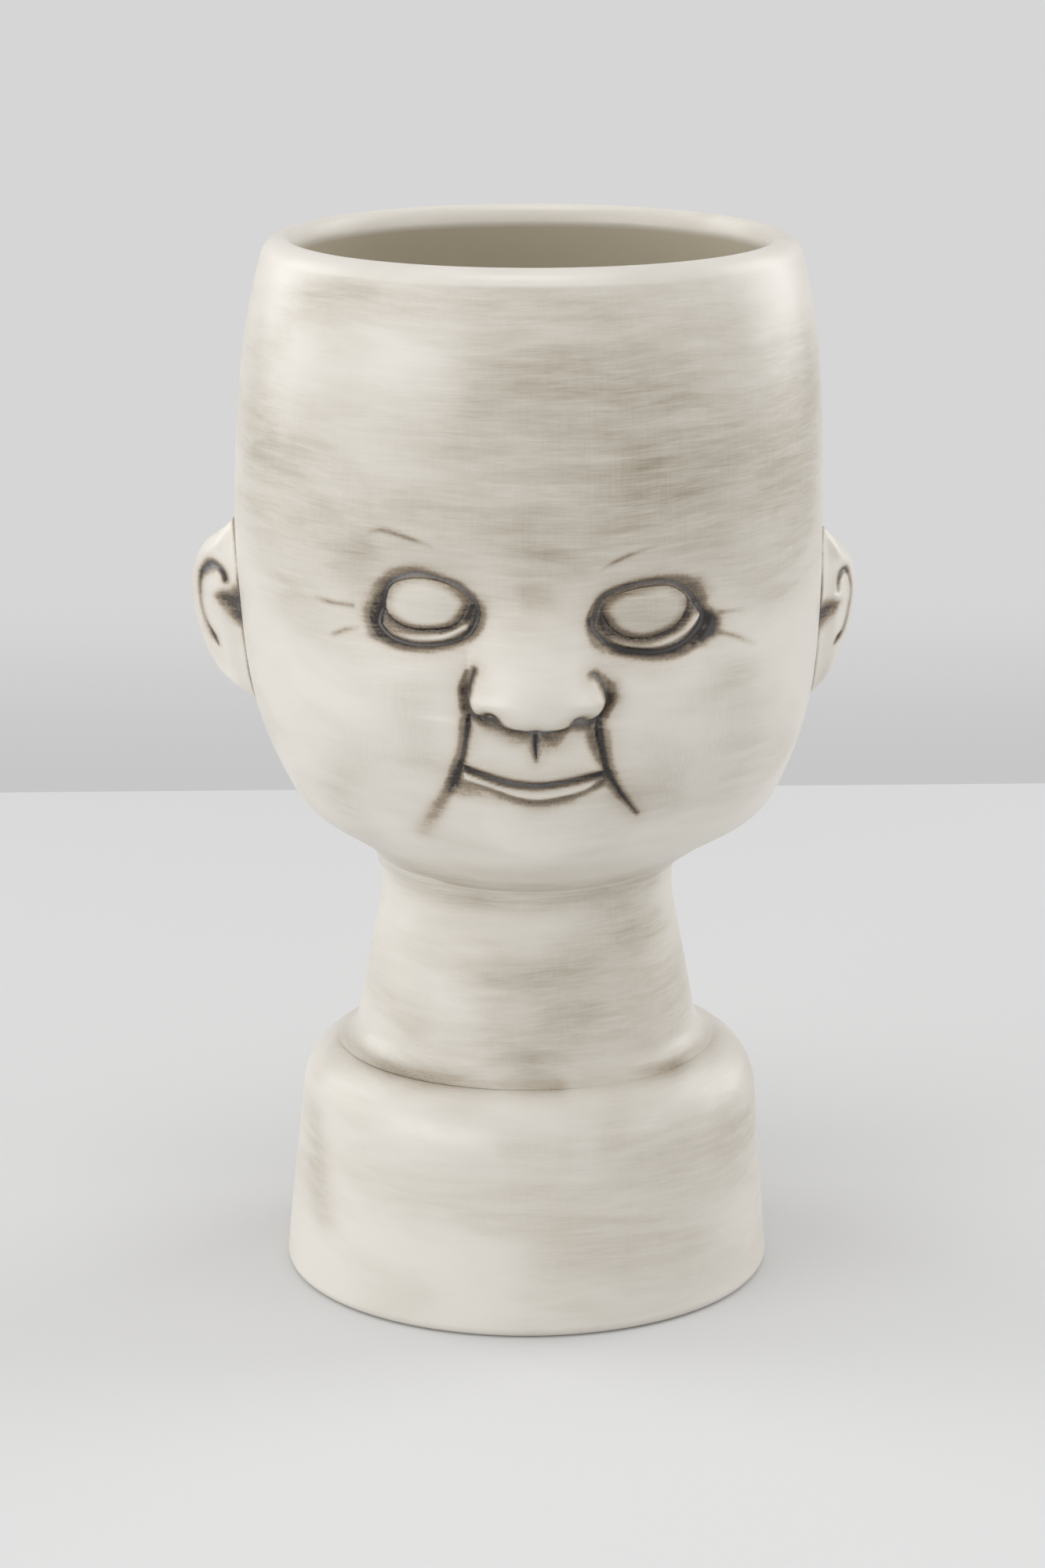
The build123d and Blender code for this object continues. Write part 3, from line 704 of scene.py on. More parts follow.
MOUTH_SMEARS = [
    ([(13.0, 168.7), (13.2, 165.5), (13.9, 162.5), (15.0, 158.9)],
     (1.1, 1.4, 1.2, 0.8), (0.45, 0.7, 0.65, 0.3)),
    ([(-18.4, 169.7), (-18.8, 163.7), (-20.2, 157.7), (-21.4, 153.1)],
     (0.8, 0.8, 1.0), (0.4, 0.25, 0.4, 0.6)),
    ([(17.2, 166.7), (17.4, 160.7), (18.6, 155.7)], (0.9,), (0.15, 0.35, 0.25)),
    ([(-19.6, 155.9), (-20.4, 153.1), (-21.4, 150.9)], (1.0, 1.4, 1.1), (1.0, 0.95, 0.6)),
    ([(-21.0, 152.3), (-22.7, 149.3), (-25.6, 143.7), (-28.3, 138.3)],
     (1.3, 1.7, 2.3, 2.6), (0.75, 0.55, 0.45, 0.25)),
    ([(-20.0, 153.1), (-17.6, 152.5), (-14.6, 151.1)], (1.2, 1.2, 1.2), (0.8, 0.5, 0.2)),
    ([(-18.0, 150.5), (-10.0, 149.3)], (2.2,), (0.3, 0.15)),
    ([(17.2, 155.1), (16.2, 153.3), (14.4, 151.9)], (1.2, 1.1, 0.9), (0.9, 0.75, 0.5)),
    ([(18.2, 152.1), (20.6, 148.7)], (1.2, 0.9), (0.5, 0.2)),
    (LIP_EDGE, (1.0, 1.25, 1.25, 1.15), (0.45, 0.62, 0.72, 0.75)),
    ([(-8.0, 149.7), (0.2, 147.7), (8.0, 148.9)], (1.8,), (0.2, 0.3, 0.25)),
]
BROW_SMEARS = [
    ([(-41.3, 215.9), (-37.8, 216.4), (-30.9, 214.9), (-26.0, 213.3)],
     (0.75, 0.8, 0.7, 0.5), (0.25, 0.45, 0.45, 0.1)),
    ([(15.7, 207.4), (19.0, 209.4), (23.0, 211.2), (29.9, 213.3)],
     (0.5, 0.65, 0.7, 0.5), (0.1, 0.4, 0.42, 0.1)),
    ([(-55.7, 196.8), (-52.1, 196.1), (-46.4, 196.1)], (0.7,), (0.15, 0.4, 0.35)),
    ([(-50.7, 188.1), (-47.9, 189.6), (-45.0, 190.5)], (0.7,), (0.3, 0.4, 0.15)),
    ([(47.0, 193.9), (53.0, 193.5)], (0.7,), (0.35, 0.1)),
    ([(46.6, 188.7), (51.3, 186.6), (55.7, 183.9)], (0.7,), (0.35, 0.35, 0.1)),
]
SMEARS = RIGHT_EYE_SMEARS + LEFT_EYE_SMEARS + NOSE_SMEARS + MOUTH_SMEARS + BROW_SMEARS
SMEAR_REACH = 4
# On the cheeks the brush went up and down.
CHEEK_MIDDLE = (38, 162)
CHEEK_SPAN = (13, 16)
CHEEK_UPRIGHT = 0.7


def smeared(marks, x, z):
    """Stain from all strokes together: each covers what the others left."""
    clean = np.ones(len(x))
    for points, widths, strengths in marks:
        distance, along = nearest(drawn(points), x, z, reach=SMEAR_REACH * max(widths))
        covered = along_line(strengths, along) * np.exp(-(distance / along_line(widths, along)) ** 2)
        clean = clean * (1 - covered)
    return 1 - clean


smear = (1 - (1 - smeared(SMEARS, x, z)) * (1 - halo) * (1 - ring)) * (1 - bare)
from_cheek_x = (np.abs(x) - CHEEK_MIDDLE[0]) / CHEEK_SPAN[0]
from_cheek_z = (z - CHEEK_MIDDLE[1]) / CHEEK_SPAN[1]
upright = CHEEK_UPRIGHT * np.exp(-from_cheek_x ** 2 - from_cheek_z ** 2)
print("smears:", len(SMEARS))

# %% Patches where the wiping left more of the stain, and partly painted shade on the side away from the key lamp: points, widths and strengths
HEAD_PATCHES = [
    ([(-8, 256.7), (16, 252.7), (40, 248.7), (62, 241.7)], (17, 18, 18, 14), (0.36, 0.5, 0.46, 0.36)),
    ([(-16, 235.7), (10, 232.7), (36, 228.7), (58, 223.7)], (13, 15, 15, 12), (0.32, 0.48, 0.46, 0.34)),
    ([(-58, 239.7), (-40, 243.7), (-20, 241.7)], (13,), (0.28, 0.28, 0.26)),
    ([(-63, 227.7), (-63, 211.7), (-60, 197.7)], (8,), (0.28,)),
    ([(66, 227.7), (67, 211.7), (64, 197.7)], (8,), (0.3,)),
    ([(-16, 248.7), (-4, 246.7), (8, 244.7)], (3.5,), (0.2,)),
    ([(18, 241.7), (25, 233.7), (26, 224.7)], (5,), (0.2, 0.35, 0.3)),
    ([(69, 259.7), (71, 245.7), (72, 229.7), (71, 211.7)], (7,), (0.3, 0.42, 0.42, 0.3)),
    ([(-70, 259.7), (-71, 242.7), (-72, 224.7), (-71, 207.7)], (6,), (0.3, 0.35, 0.35, 0.25)),
    ([(-61, 263.7), (-56, 271.7), (-43, 275.7)], (3.5,), (0.1, 0.3, 0.2)),
    ([(-50, 273.7), (-8, 273.7), (20, 271.7), (50, 265.7)], (7,), (0.25, 0.38, 0.38, 0.28)),
    ([(-52, 215.7), (-38, 220.7), (-22, 219.7), (-6, 215.7)], (9,), (0.38, 0.44, 0.44, 0.36)),
    ([(-49, 206.7), (-44, 211.7)], (5,), (0.35,)),
    ([(6, 214.7), (24, 218.7), (40, 214.7), (50, 205.7)], (10,), (0.4, 0.52, 0.54, 0.36)),
    ([(-5, 201.7), (0, 206.7), (6, 203.7)], (11,), (0.2,)),
    ([(20, 197.7), (30, 198.7)], (9,), (0.12,)),
    ([(48, 173.7), (53, 161.7), (52, 149.7)], (9,), (0.2, 0.25, 0.15)),
    ([(-30, 173.7), (-28, 159.7)], (5,), (0.2,)),
    ([(24, 148.7), (34, 146.7)], (4,), (0.2, 0.15)),
    ([(-46, 153.7), (-50, 143.7), (-44, 133.7)], (5,), (0.1, 0.22, 0.2)),
    ([(0, 142.7), (14, 144.7), (30, 151.7)], (7,), (0.12,)),
    ([(-42, 122.7), (-32, 119.7), (-20, 116.7)], (4,), (0.15, 0.2, 0.15)),
    ([(-38, 116.7), (-22, 116.2), (0, 115.2), (22, 116.2), (36, 117.7)], (3,), (0.3, 0.42, 0.45, 0.42, 0.25)),
]
PATCH_ENDS = (-4, -32)
on_front = on_outside & (grid[:, :, 1] < PATCH_ENDS[0])
front_x, front_y, front_z = grid[on_front].T
head_patch = np.zeros(grid.shape[:2])
head_patch[on_front] = smeared(HEAD_PATCHES, front_x, front_z) * soft_step(*PATCH_ENDS, front_y)
print("patches on the head:", len(HEAD_PATCHES))

# %% [markdown]
# ## The head as one mesh
# The real head is one casting with a wall. The grid already runs over the lip and down the inside, so once
# the face is pushed out of it, it closes to one solid shell. Thickening an outer skin would be another way,
# but the lip is thicker than the wall. The stain goes along as attributes, which the finish reads.

# %% The head as a mesh


def carry(mesh, attributes):
    """Keeps a number for each point of a mesh, under each attribute's name."""
    for key, values in attributes.items():
        layer = mesh.attributes.new(key, "FLOAT", "POINT")
        layer.data.foreach_set("value", np.asarray(values, np.float32).ravel())


def make_piece(name, points, faces, node, **attributes):
    """Mesh piece from points in millimetres, with its stain, that stands for a CAD node."""
    mesh = bpy.data.meshes.new(name)
    mesh.from_pydata((np.asarray(points).reshape(-1, 3) * MM).tolist(), [], faces)
    mesh.polygons.foreach_set("use_smooth", [True] * len(mesh.polygons))
    carry(mesh, attributes)
    mesh.materials.append(ceramic)
    piece = bpy.data.objects.new(name, mesh)
    scene.collection.objects.link(piece)
    ride_for(piece, node)
    return piece


def ride_for(piece, node):
    """Puts a finished piece on the vase in place of its CAD node."""
    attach(piece, "root")
    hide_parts(node)
    print(node, "has", len(piece.data.polygons), "faces")


def grid_faces(row_count, column_count, close_rows=False):
    """Quads of a grid whose columns run all the way round."""
    faces = []
    for r in range(row_count if close_rows else row_count - 1):
        above = (r + 1) % row_count
        for c in range(column_count):
            beside = (c + 1) % column_count
            faces.append((r * column_count + c, r * column_count + beside,
                          above * column_count + beside, above * column_count + c))
    return faces


head_shape = grid.copy()
head_shape[on_face] += normals[on_face] * relief[:, None]


def over_head(values):
    """Values of the face's points spread over the whole head, 0 elsewhere."""
    full = np.zeros(grid.shape[:2])
    full[on_face] = values
    return full


inner = np.zeros(grid.shape[:2])
inner[wall_rows + roll.shape[1] + drop.shape[1]:] = 1
make_piece("head", head_shape, grid_faces(len(grid), len(turns), close_rows=True), "head_vessel",
           crease=over_head(crease), pool=over_head(pool), smear=over_head(smear), upright=over_head(upright),
           patch=head_patch, inside=inner)

# %% [markdown]
# ## Eyes
# Each eye is a blank oval button with a ball-shaped front, set into its socket. It is built in rings from
# its middle to its edge, on the flat plane that touches the head there, with a straight side that goes down
# to the socket's floor. Its edge is darker: stain that stayed round it, most of it below and towards the
# nose, where the darkening is partly painted shade under the ball.

# %% Eyes
EYE_BALL = 26.0
EYE_PROUD = 0.4
EYE_SIDE = 2.2
EYE_RINGS = 22
EYE_HALF_SIZE = np.array([10.7, 6.4])
# Darkening round each eye's edge: stain and, below and towards the nose, partly painted shade under the ball.
EYE_STAIN_SHADE_FROM = 0.66
EYE_STAIN_SHADE = 0.3
EYE_STAIN_SHADE_LOW = 0.6
EYE_STAIN_SHADE_SPAN = (-0.6, 0.9)
EYE_STAIN_SHADE_IN = 0.7
EYE_STAIN_SHADE_DOWN = 0.75
TOUCHING = 0.001 * MM


def skin(x, z):
    """Point and outward direction of the smooth head's front."""
    wide, front, _ = sections(head_outer, np.array([z]))[:, 0]
    lean = np.interp(z, SWAY_HEIGHTS, SWAY)
    point = np.array([x, -front * np.sqrt(1 - ((x - lean) / wide) ** 2), z])
    ahead = sections(head_outer, np.array([z + 1.0]))[1, 0] - front
    direction = np.array([(x - lean) / wide ** 2, point[1] / front ** 2, -ahead / front])
    return point, direction / np.linalg.norm(direction)


def face_outwards(mesh, merge=False):
    """Turns all faces of a closed mesh outwards, and first merges its touching points where asked."""
    work = bmesh.new()
    work.from_mesh(mesh)
    if merge:
        bmesh.ops.remove_doubles(work, verts=work.verts, dist=TOUCHING)
    bmesh.ops.recalc_face_normals(work, faces=work.faces)
    work.to_mesh(mesh)
    work.free()


def make_eye(name, outline, node, nose_side, wash):
    """One button in rings, with stain and painted shade round its edge. `nose_side` is 1 or -1, the way to
    the nose along X.
    """
    edge = drawn(outline, closed=True)[:-1]
    centre_x, centre_z = edge.mean(0)
    centre, out = skin(centre_x, centre_z)
    rings = []
    shades = []
    for share in np.linspace(0, 1, EYE_RINGS):
        flat = (centre_x, centre_z) + (edge - (centre_x, centre_z)) * share
        spots = np.stack([flat[:, 0], np.full(len(flat), centre[1]), flat[:, 1]], -1)
        spots[:, 1] -= (spots - centre) @ out / out[1]
        off = np.linalg.norm(spots - centre, axis=-1)
        rings.append(spots + out * (EYE_PROUD - EYE_BALL + np.sqrt(EYE_BALL ** 2 - off ** 2))[:, None])
        beside, above = ((flat - (centre_x, centre_z)) / EYE_HALF_SIZE).T
        low_in = soft_step(*EYE_STAIN_SHADE_SPAN, beside * nose_side * EYE_STAIN_SHADE_IN - above * EYE_STAIN_SHADE_DOWN)
        shades.append(soft_step(EYE_STAIN_SHADE_FROM, 1.0, share) * (EYE_STAIN_SHADE + EYE_STAIN_SHADE_LOW * low_in))
    rings.append(rings[-1] - out * EYE_SIDE)
    shades.append(np.ones(len(edge)))
    rings.append(np.repeat(rings[-1].mean(0)[None], len(edge), 0))
    shades.append(np.ones(len(edge)))
    shades = np.array(shades)
    piece = make_piece(name, np.array(rings), grid_faces(len(rings), len(edge)), node, smear=shades,
                       patch=np.full(shades.shape, wash))
    face_outwards(piece.data, merge=True)


# The left eye's heavier wash is stain, and partly painted shade on the side away from the key lamp.
make_eye("right_eyeball", RIGHT_EYE, "right_eye", nose_side=1, wash=0.14)
make_eye("left_eyeball", LEFT_EYE, "left_eye", nose_side=-1, wash=0.5)

# %% [markdown]
# ## Ears
# An ear is a leaning shell with a rolled rim, a groove inside the rim and a dark hollow near the head.
# It is drawn as it is seen from the front: `out` runs away from the head's side and `up` is up. `joint` says
# how far back on the head's side the ear's front edge sits at a few heights, so that this edge is a smooth
# curve on the head. From there the shell leans back as it goes out, and its front and back stand off that
# leaning sheet by their own depth. Rays from a line inside the head to the ear's outline give a grid for its
# front and, on the way back, for its back.

# %% Ears
EAR_SEAT = (77.4, 187.2)
EAR_LEAN = 1.9
EAR_DEPTH = 4.0
EAR_EDGE = 1.7
EAR_ROOT = 3.5
EAR_BLEND = 6.0
EAR_STEPS = 64
EAR_BACK_STEPS = 18
HUB_SPAN = (-22, 16)
RIM_RISE = 1.0
RIM_HALF_WIDTH = 1.6
SWELL_RISE = 1.5
SWELL_MIDDLE = (5.5, -5)
SWELL_REACH = (2.8, 7)
GROOVE_DEPTH = 1.4
GROOVE_BESIDE = 0.5
HOLLOW_DEPTH = 2.6
HOLLOW_EDGE = (-1.6, 2.4)
HOLLOW_STAIN = (-2.2, 2.8)
EAR_SMEAR = 0.8
# Grey in the ear's groove: pooled glaze, partly a painted reflection of the light above.
EAR_POOL_AND_REFLECTION = 0.6
POOL_IN_DARK = (0.3, 0.8)
POOL_IN_WIDE = (0.6, 1.0)
JOINT_LINE = 0.7
JOINT_UP = [-30, -14, 0, 14, 26]
RIGHT_EAR = {
    "outline": [(-9.0, -28.0), (-4.6, -29.6), (-0.2, -28.4), (4.5, -25.8), (7.1, -22.6), (9.0, -19.2),
                (10.6, -15.2), (11.7, -10.7), (12.3, -6.8), (12.5, -2.7), (12.3, 1.3), (11.4, 5.1),
                (9.9, 8.7), (7.8, 12.0), (5.0, 14.9), (1.8, 18.0), (-0.6, 21.0), (-3.0, 23.0)],
    "groove": [(2.6, 3.4), (3.0, 4.9), (4.2, 6.2), (5.6, 6.6), (7.0, 6.0), (8.8, 3.8), (9.7, 0.4),
               (9.5, -5.3), (8.3, -10.2), (6.2, -14.1), (5.0, -16.1)],
    "groove widths": (0.6, 0.7, 0.9, 1.3, 1.4, 0.9, 0.6, 0.5, 0.6, 0.7, 0.2),
    "groove stain": (0.9, 1.0, 1.0, 1.0, 1.0, 0.9, 0.5, 0.2, 0.3, 0.8, 0.4),
    "hollow": [(5.2, -2.4), (3.9, -0.2), (1.2, 0.7), (-1.4, 3.0), (-4.0, 0.0), (-4.0, -9.0),
               (-0.3, -7.8), (2.1, -5.3)],
    "joint": [2.0, -4.0, -6.5, -4.0, 2.0],
}
LEFT_EAR = {
    "outline": [(-7.0, -28.0), (-3.6, -29.3), (-0.8, -28.7), (1.8, -27.3), (4.1, -24.9), (5.9, -22.1),
                (7.7, -18.4), (9.1, -14.8), (10.4, -11.2), (11.3, -7.4), (11.7, -3.7), (11.6, 0.2),
                (10.8, 4.0), (9.0, 7.8), (6.6, 11.2), (4.2, 13.9), (1.0, 17.2), (-1.4, 19.4), (-3.6, 20.6)],
    "groove": [(5.3, -0.6), (5.5, 2.0), (6.4, 3.9), (7.6, 4.4), (8.8, 2.5), (9.5, -0.4), (9.5, -3.5),
               (8.2, -9.9), (7.3, -12.2), (6.1, -13.6), (4.8, -15.3)],
    "groove widths": (0.6, 0.6, 0.9, 1.0, 0.6, 0.5, 0.5, 0.5, 0.6, 0.6, 0.2),
    "groove stain": (0.2, 0.5, 0.8, 0.7, 0.35, 0.25, 0.2, 0.25, 0.4, 0.7, 0.3),
    "hollow": [(6.0, -4.0), (4.5, -3.0), (1.7, -2.6), (-1.5, -3.0), (-4.0, -4.0), (-4.0, -11.0),
               (-0.5, -10.4), (1.4, -8.5), (3.2, -6.6)],
    "joint": [-2.0, -8.0, -9.0, -5.5, 1.0],
}
# How dark the joint with the head is at a few heights.
JOINT_LEVELS = [-29, -23, -14, -9, -4, 2, 8, 14, 20]
JOINT_DARK = [0.9, 0.75, 0.35, 0.7, 0.9, 0.8, 0.3, 0.5, 0.8]


def edge_round(to_edge):
    """Rises as a quarter circle from 0 at the ear's edge to 1."""
    return np.sqrt(1 - (1 - np.clip(to_edge / EAR_EDGE, 0, 1)) ** 2)


def ear_front(drawing, to_edge, out, up):
    """How far the ear's front stands off its sheet, its creases, their grey (pooled glaze, partly painted
    reflection) and its stain.
    """
    to_groove, along = nearest(drawn(drawing["groove"]), out, up)
    width = along_line(drawing["groove widths"], along)
    hollow = drawn(drawing["hollow"], closed=True)
    to_hollow = nearest(hollow, out, up)[0]
    depth_in = np.where(within(hollow, out, up), to_hollow, -to_hollow)
    rim = RIM_RISE * np.exp(-((to_edge - EAR_EDGE) / RIM_HALF_WIDTH) ** 2)
    from_swell_out = (out - SWELL_MIDDLE[0]) / SWELL_REACH[0]
    from_swell_up = (up - SWELL_MIDDLE[1]) / SWELL_REACH[1]
    swell = SWELL_RISE * np.exp(-from_swell_out ** 2 - from_swell_up ** 2)
    height = (EAR_DEPTH + rim + swell) * edge_round(to_edge)
    height = height - GROOVE_DEPTH * np.exp(-(to_groove / width) ** 2)
    height = height - HOLLOW_DEPTH * soft_step(*HOLLOW_EDGE, depth_in)
    darkness = along_line(drawing["groove stain"], along)
    crease = darkness * np.clip(1 - to_groove / width, 0, 1)
    pool = EAR_POOL_AND_REFLECTION * soft_step(*POOL_IN_DARK, crease) * soft_step(*POOL_IN_WIDE, width)
    beside = EAR_SMEAR * darkness * np.exp(-(to_groove / (width + GROOVE_BESIDE)) ** 2)
    return height, crease, pool, np.maximum(beside, soft_step(*HOLLOW_STAIN, depth_in))


def ear_joint(drawing, side, up):
    """Where the ear's front edge meets the head: out and back, at each height."""
    level = EAR_SEAT[1] + up
    wide, front, deep = sections(head_outer, level)
    back = spline(JOINT_UP, drawing["joint"], up)
    reach = wide * np.sqrt(1 - (back / np.where(back > 0, deep, front)) ** 2)
    return reach + side * np.interp(level, SWAY_HEIGHTS, SWAY) - EAR_SEAT[0], back


def make_ear(name, node, side, drawing):
    """One ear from its drawing: rays over its front to the rim and back behind it, closed at both ends."""
    rim = drawn(drawing["outline"])
    hub_up = np.linspace(*HUB_SPAN, len(rim))
    hub = np.stack([ear_joint(drawing, side, hub_up)[0] - EAR_ROOT, hub_up], -1)
    to_rim = np.concatenate([np.linspace(0, 1, EAR_STEPS), np.linspace(1, 0, EAR_BACK_STEPS)[1:]])
    flat = hub[:, None] + (rim - hub)[:, None] * to_rim[None, :, None]
    out, up = flat[..., 0].ravel(), flat[..., 1].ravel()
    joint_out, joint_back = ear_joint(drawing, side, up)
    from_joint = out - joint_out
    to_edge = nearest(rim, out, up)[0]
    height, crease, pool, smear = ear_front(drawing, to_edge, out, up)
    height = height * soft_step(0, EAR_BLEND, from_joint)
    behind = np.tile(np.arange(len(to_rim)) >= EAR_STEPS, len(rim))
    back = -EAR_DEPTH * edge_round(to_edge)
    y = joint_back + EAR_LEAN * from_joint - np.where(behind, back, height)
    joint = np.interp(up, JOINT_LEVELS, JOINT_DARK) * np.exp(-(np.maximum(from_joint, 0) / JOINT_LINE) ** 2)
    smear = np.maximum(np.where(behind, 0, smear), joint)
    points = np.stack([side * (EAR_SEAT[0] + out), y, EAR_SEAT[1] + up], -1)
    faces = grid_faces(len(rim), len(to_rim))
    faces.append(tuple(range(len(to_rim))))
    faces.append(tuple(range((len(rim) - 1) * len(to_rim), len(rim) * len(to_rim))))
    piece = make_piece(name, points, faces, node, smear=smear, crease=np.where(behind, 0, crease),
                       pool=np.where(behind, 0, pool))
    face_outwards(piece.data)


make_ear("left_ear_shell", "left_ear", 1, LEFT_EAR)
make_ear("right_ear_shell", "right_ear", -1, RIGHT_EAR)

# %% [markdown]
# ## Neck and plinth: a lathe in Geometry Nodes
# Both pieces were made on a wheel or in a round mould, so each is one outline that goes round the axis. That
# is a rule, and Geometry Nodes can hold it: the corners of the outline are named inputs (radius, height and
# how round the corner is), Fillet Curve rounds them, and Curve to Mesh carries the outline round a circle.

# %% Lathe tree
RAIL = 10 * MM
TURN_STEPS = 192
FILLET_STEPS = 24
TALL_EDGE = 6 * MM
TALL_CUTS = 20
SHARP_ANGLE = 50


def lathe_tree(name, corners, closed):
    """Geometry tree that turns an outline, with one vector input for each named corner."""
    tree = bpy.data.node_groups.new(name, "GeometryNodeTree")
    tree.interface.new_socket("Geometry", in_out="OUTPUT", socket_type="NodeSocketGeometry")
    for corner in corners:
        tree.interface.new_socket(corner, in_out="INPUT", socket_type="NodeSocketVector")
    entry = tree.nodes.new("NodeGroupInput")
    index = add(tree, "GeometryNodeInputIndex")
    spot = add(tree, "GeometryNodeIndexSwitch", {"Index": index}, data_type="VECTOR")
    while len(spot.node.index_switch_items) < len(corners):
        spot.node.index_switch_items.new()
    for k, corner in enumerate(corners):
        tree.links.new(entry.outputs[corner], spot.node.inputs[1 + k])
    radius = add(tree, "ShaderNodeSeparateXYZ", {"Vector": spot}, "X")
    height = add(tree, "ShaderNodeSeparateXYZ", {"Vector": spot}, "Y")
    corner_round = add(tree, "ShaderNodeSeparateXYZ", {"Vector": spot}, "Z")
    from_rail = add(tree, "ShaderNodeMath", {0: radius, 1: RAIL}, operation="SUBTRACT")
    downward = add(tree, "ShaderNodeMath", {0: height, 1: -1.0}, operation="MULTIPLY")
    flat = add(tree, "ShaderNodeCombineXYZ", {"X": from_rail, "Y": downward})
    chain = add(tree, "GeometryNodeMeshLine", {"Count": len(corners)})
    held = add(tree, "GeometryNodeStoreNamedAttribute",
               {"Geometry": chain, "Name": "corner_round", "Value": corner_round},
               data_type="FLOAT", domain="POINT")
    placed = add(tree, "GeometryNodeSetPosition", {"Geometry": held, "Position": flat})
    outline = add(tree, "GeometryNodeMeshToCurve", {"Mesh": placed})
    looped = add(tree, "GeometryNodeSetSplineCyclic", {"Geometry": outline, "Cyclic": closed})
    rounding = add(tree, "GeometryNodeInputNamedAttribute", {"Name": "corner_round"}, data_type="FLOAT")
    rounded = add(tree, "GeometryNodeFilletCurve", {
        "Curve": looped, "Radius": rounding, "Count": FILLET_STEPS, "Limit Radius": True,
    }, mode="POLY")
    circle = add(tree, "GeometryNodeCurvePrimitiveCircle", {"Resolution": TURN_STEPS, "Radius": RAIL})
    level = add(tree, "GeometryNodeSetCurveNormal", {"Curve": circle}, mode="Z_UP")
    turned = add(tree, "GeometryNodeCurveToMesh", {"Curve": level, "Profile Curve": rounded})
    joined = add(tree, "GeometryNodeMergeByDistance", {"Geometry": turned, "Distance": TOUCHING})
    real = add(tree, "GeometryNodeRealizeInstances", {"Geometry": joined})
    finished = add(tree, "GeometryNodeSetMaterial", {"Geometry": real, "Material": ceramic})
    add(tree, "NodeGroupOutput", {"Geometry": finished})
    return tree


def turn_piece(name, corners, closed):
    """Runs the lathe on corners of (radius, height, round) in millimetres and keeps a plain mesh."""
    tree = lathe_tree(name + "_lathe", list(corners), closed)
    piece = bpy.data.objects.new(name, bpy.data.meshes.new(name))
    scene.collection.objects.link(piece)
    lathe = piece.modifiers.new("lathe", "NODES")
    lathe.node_group = tree
    for item in tree.interface.items_tree:
        if item.in_out == "INPUT":
            lathe[item.identifier] = [value * MM for value in corners[item.name]]
    evaluated = piece.evaluated_get(bpy.context.evaluated_depsgraph_get())
    piece.data = bpy.data.meshes.new_from_object(evaluated)
    piece.modifiers.remove(lathe)
    cut = bmesh.new()
    cut.from_mesh(piece.data)
    tall = [e for e in cut.edges if abs(e.verts[0].co.z - e.verts[1].co.z) > TALL_EDGE]
    bmesh.ops.subdivide_edges(cut, edges=tall, cuts=TALL_CUTS, use_grid_fill=True)
    cut.to_mesh(piece.data)
    cut.free()
    face_outwards(piece.data)
    piece.data.polygons.foreach_set("use_smooth", [True] * len(piece.data.polygons))
    piece.data.set_sharp_from_angle(angle=radians(SHARP_ANGLE))
    return piece


# %% Neck, with the stain on it, partly painted shade, and in its joint with the plinth
PLINTH_HEIGHT = 65.0
NECK_FOOT_RADIUS = 46.4
PASSAGE_FOOT = NECK_FOOT_RADIUS - WALL

neck = turn_piece("neck_tube", {
    "Foot outside": (NECK_FOOT_RADIUS + 5.1, PLINTH_HEIGHT - 1.0, 0),
    "Cove": (NECK_FOOT_RADIUS, PLINTH_HEIGHT + 1.7, 7),
    "Waist": (NECK_TOP_RADIUS - 0.2, HEAD_BASE - 8, 40),
    "Throat": (NECK_TOP_RADIUS, HEAD_BASE, 8),
    "Under the jaw": (NECK_TOP_RADIUS + 5.6, HEAD_BASE + 5, 0),
    "Top inside": (PASSAGE_TOP, HEAD_BASE, 0),
    "Foot inside": (PASSAGE_FOOT, PLINTH_HEIGHT, 0),
}, closed=True)
NECK_PATCHES = [
    ([(-8, 90), (10, 88), (26, 88), (38, 86)], (12, 14, 16, 12), (0.25, 0.36, 0.38, 0.32)),
    ([(-16, 92.5), (0, 92), (17, 92.5)], (3,), (0.1, 0.36, 0.12)),
    ([(4, 83), (14, 82)], (3.5,), (0.3,)),
    ([(-8, 75), (10, 77), (30, 78)], (7,), (0.3, 0.32, 0.25)),
    ([(-9, 71), (0, 70.2), (8, 70.6)], (2.8,), (0.1, 0.5, 0.15)),
    ([(22, 107), (30, 99)], (6,), (0.25, 0.3)),
    ([(-38, 80), (-30, 76), (-20, 74)], (6,), (0.25, 0.25, 0.2)),
    ([(36, 86), (40, 76)], (5,), (0.2,)),
    ([(-34, 112.7), (-12, 111.7), (10, 111.7), (32, 112.7)], (3.5,), (0.25, 0.42, 0.46, 0.35)),
]
# How much stain stayed in the joint with the plinth, from the vase's right to its left.
JOINT_SIDES = [-48, -43, -36, -28, -21, -10, 0, 7, 10, 25, 32, 38, 42, 46]
JOINT_STAIN = [0.1, 0.25, 0.36, 0.42, 0.32, 0.1, 0.3, 0.3, 0.06, 0.08, 0.28, 0.5, 0.25, 0.1]
JOINT_RADIUS = NECK_FOOT_RADIUS + 4.4
JOINT_HEIGHT = PLINTH_HEIGHT - 0.3
JOINT_PATCH = 5
JOINT_SMEAR = 2.2
STAIN_ENDS = (8, -8)
TUCK_OUT = 0.35
TUCK_IN = 0.12


def places_of(piece):
    """Side, depth and height of each point of a piece, in millimetres."""
    places = np.zeros(len(piece.data.vertices) * 3)
    piece.data.vertices.foreach_get("co", places)
    return places.reshape(-1, 3).T / MM


def move_points(piece, side, depth, height):
    """Puts the points of a piece at new places, in millimetres."""
    piece.data.vertices.foreach_set("co", (np.stack([side, depth, height], -1) * MM).ravel())


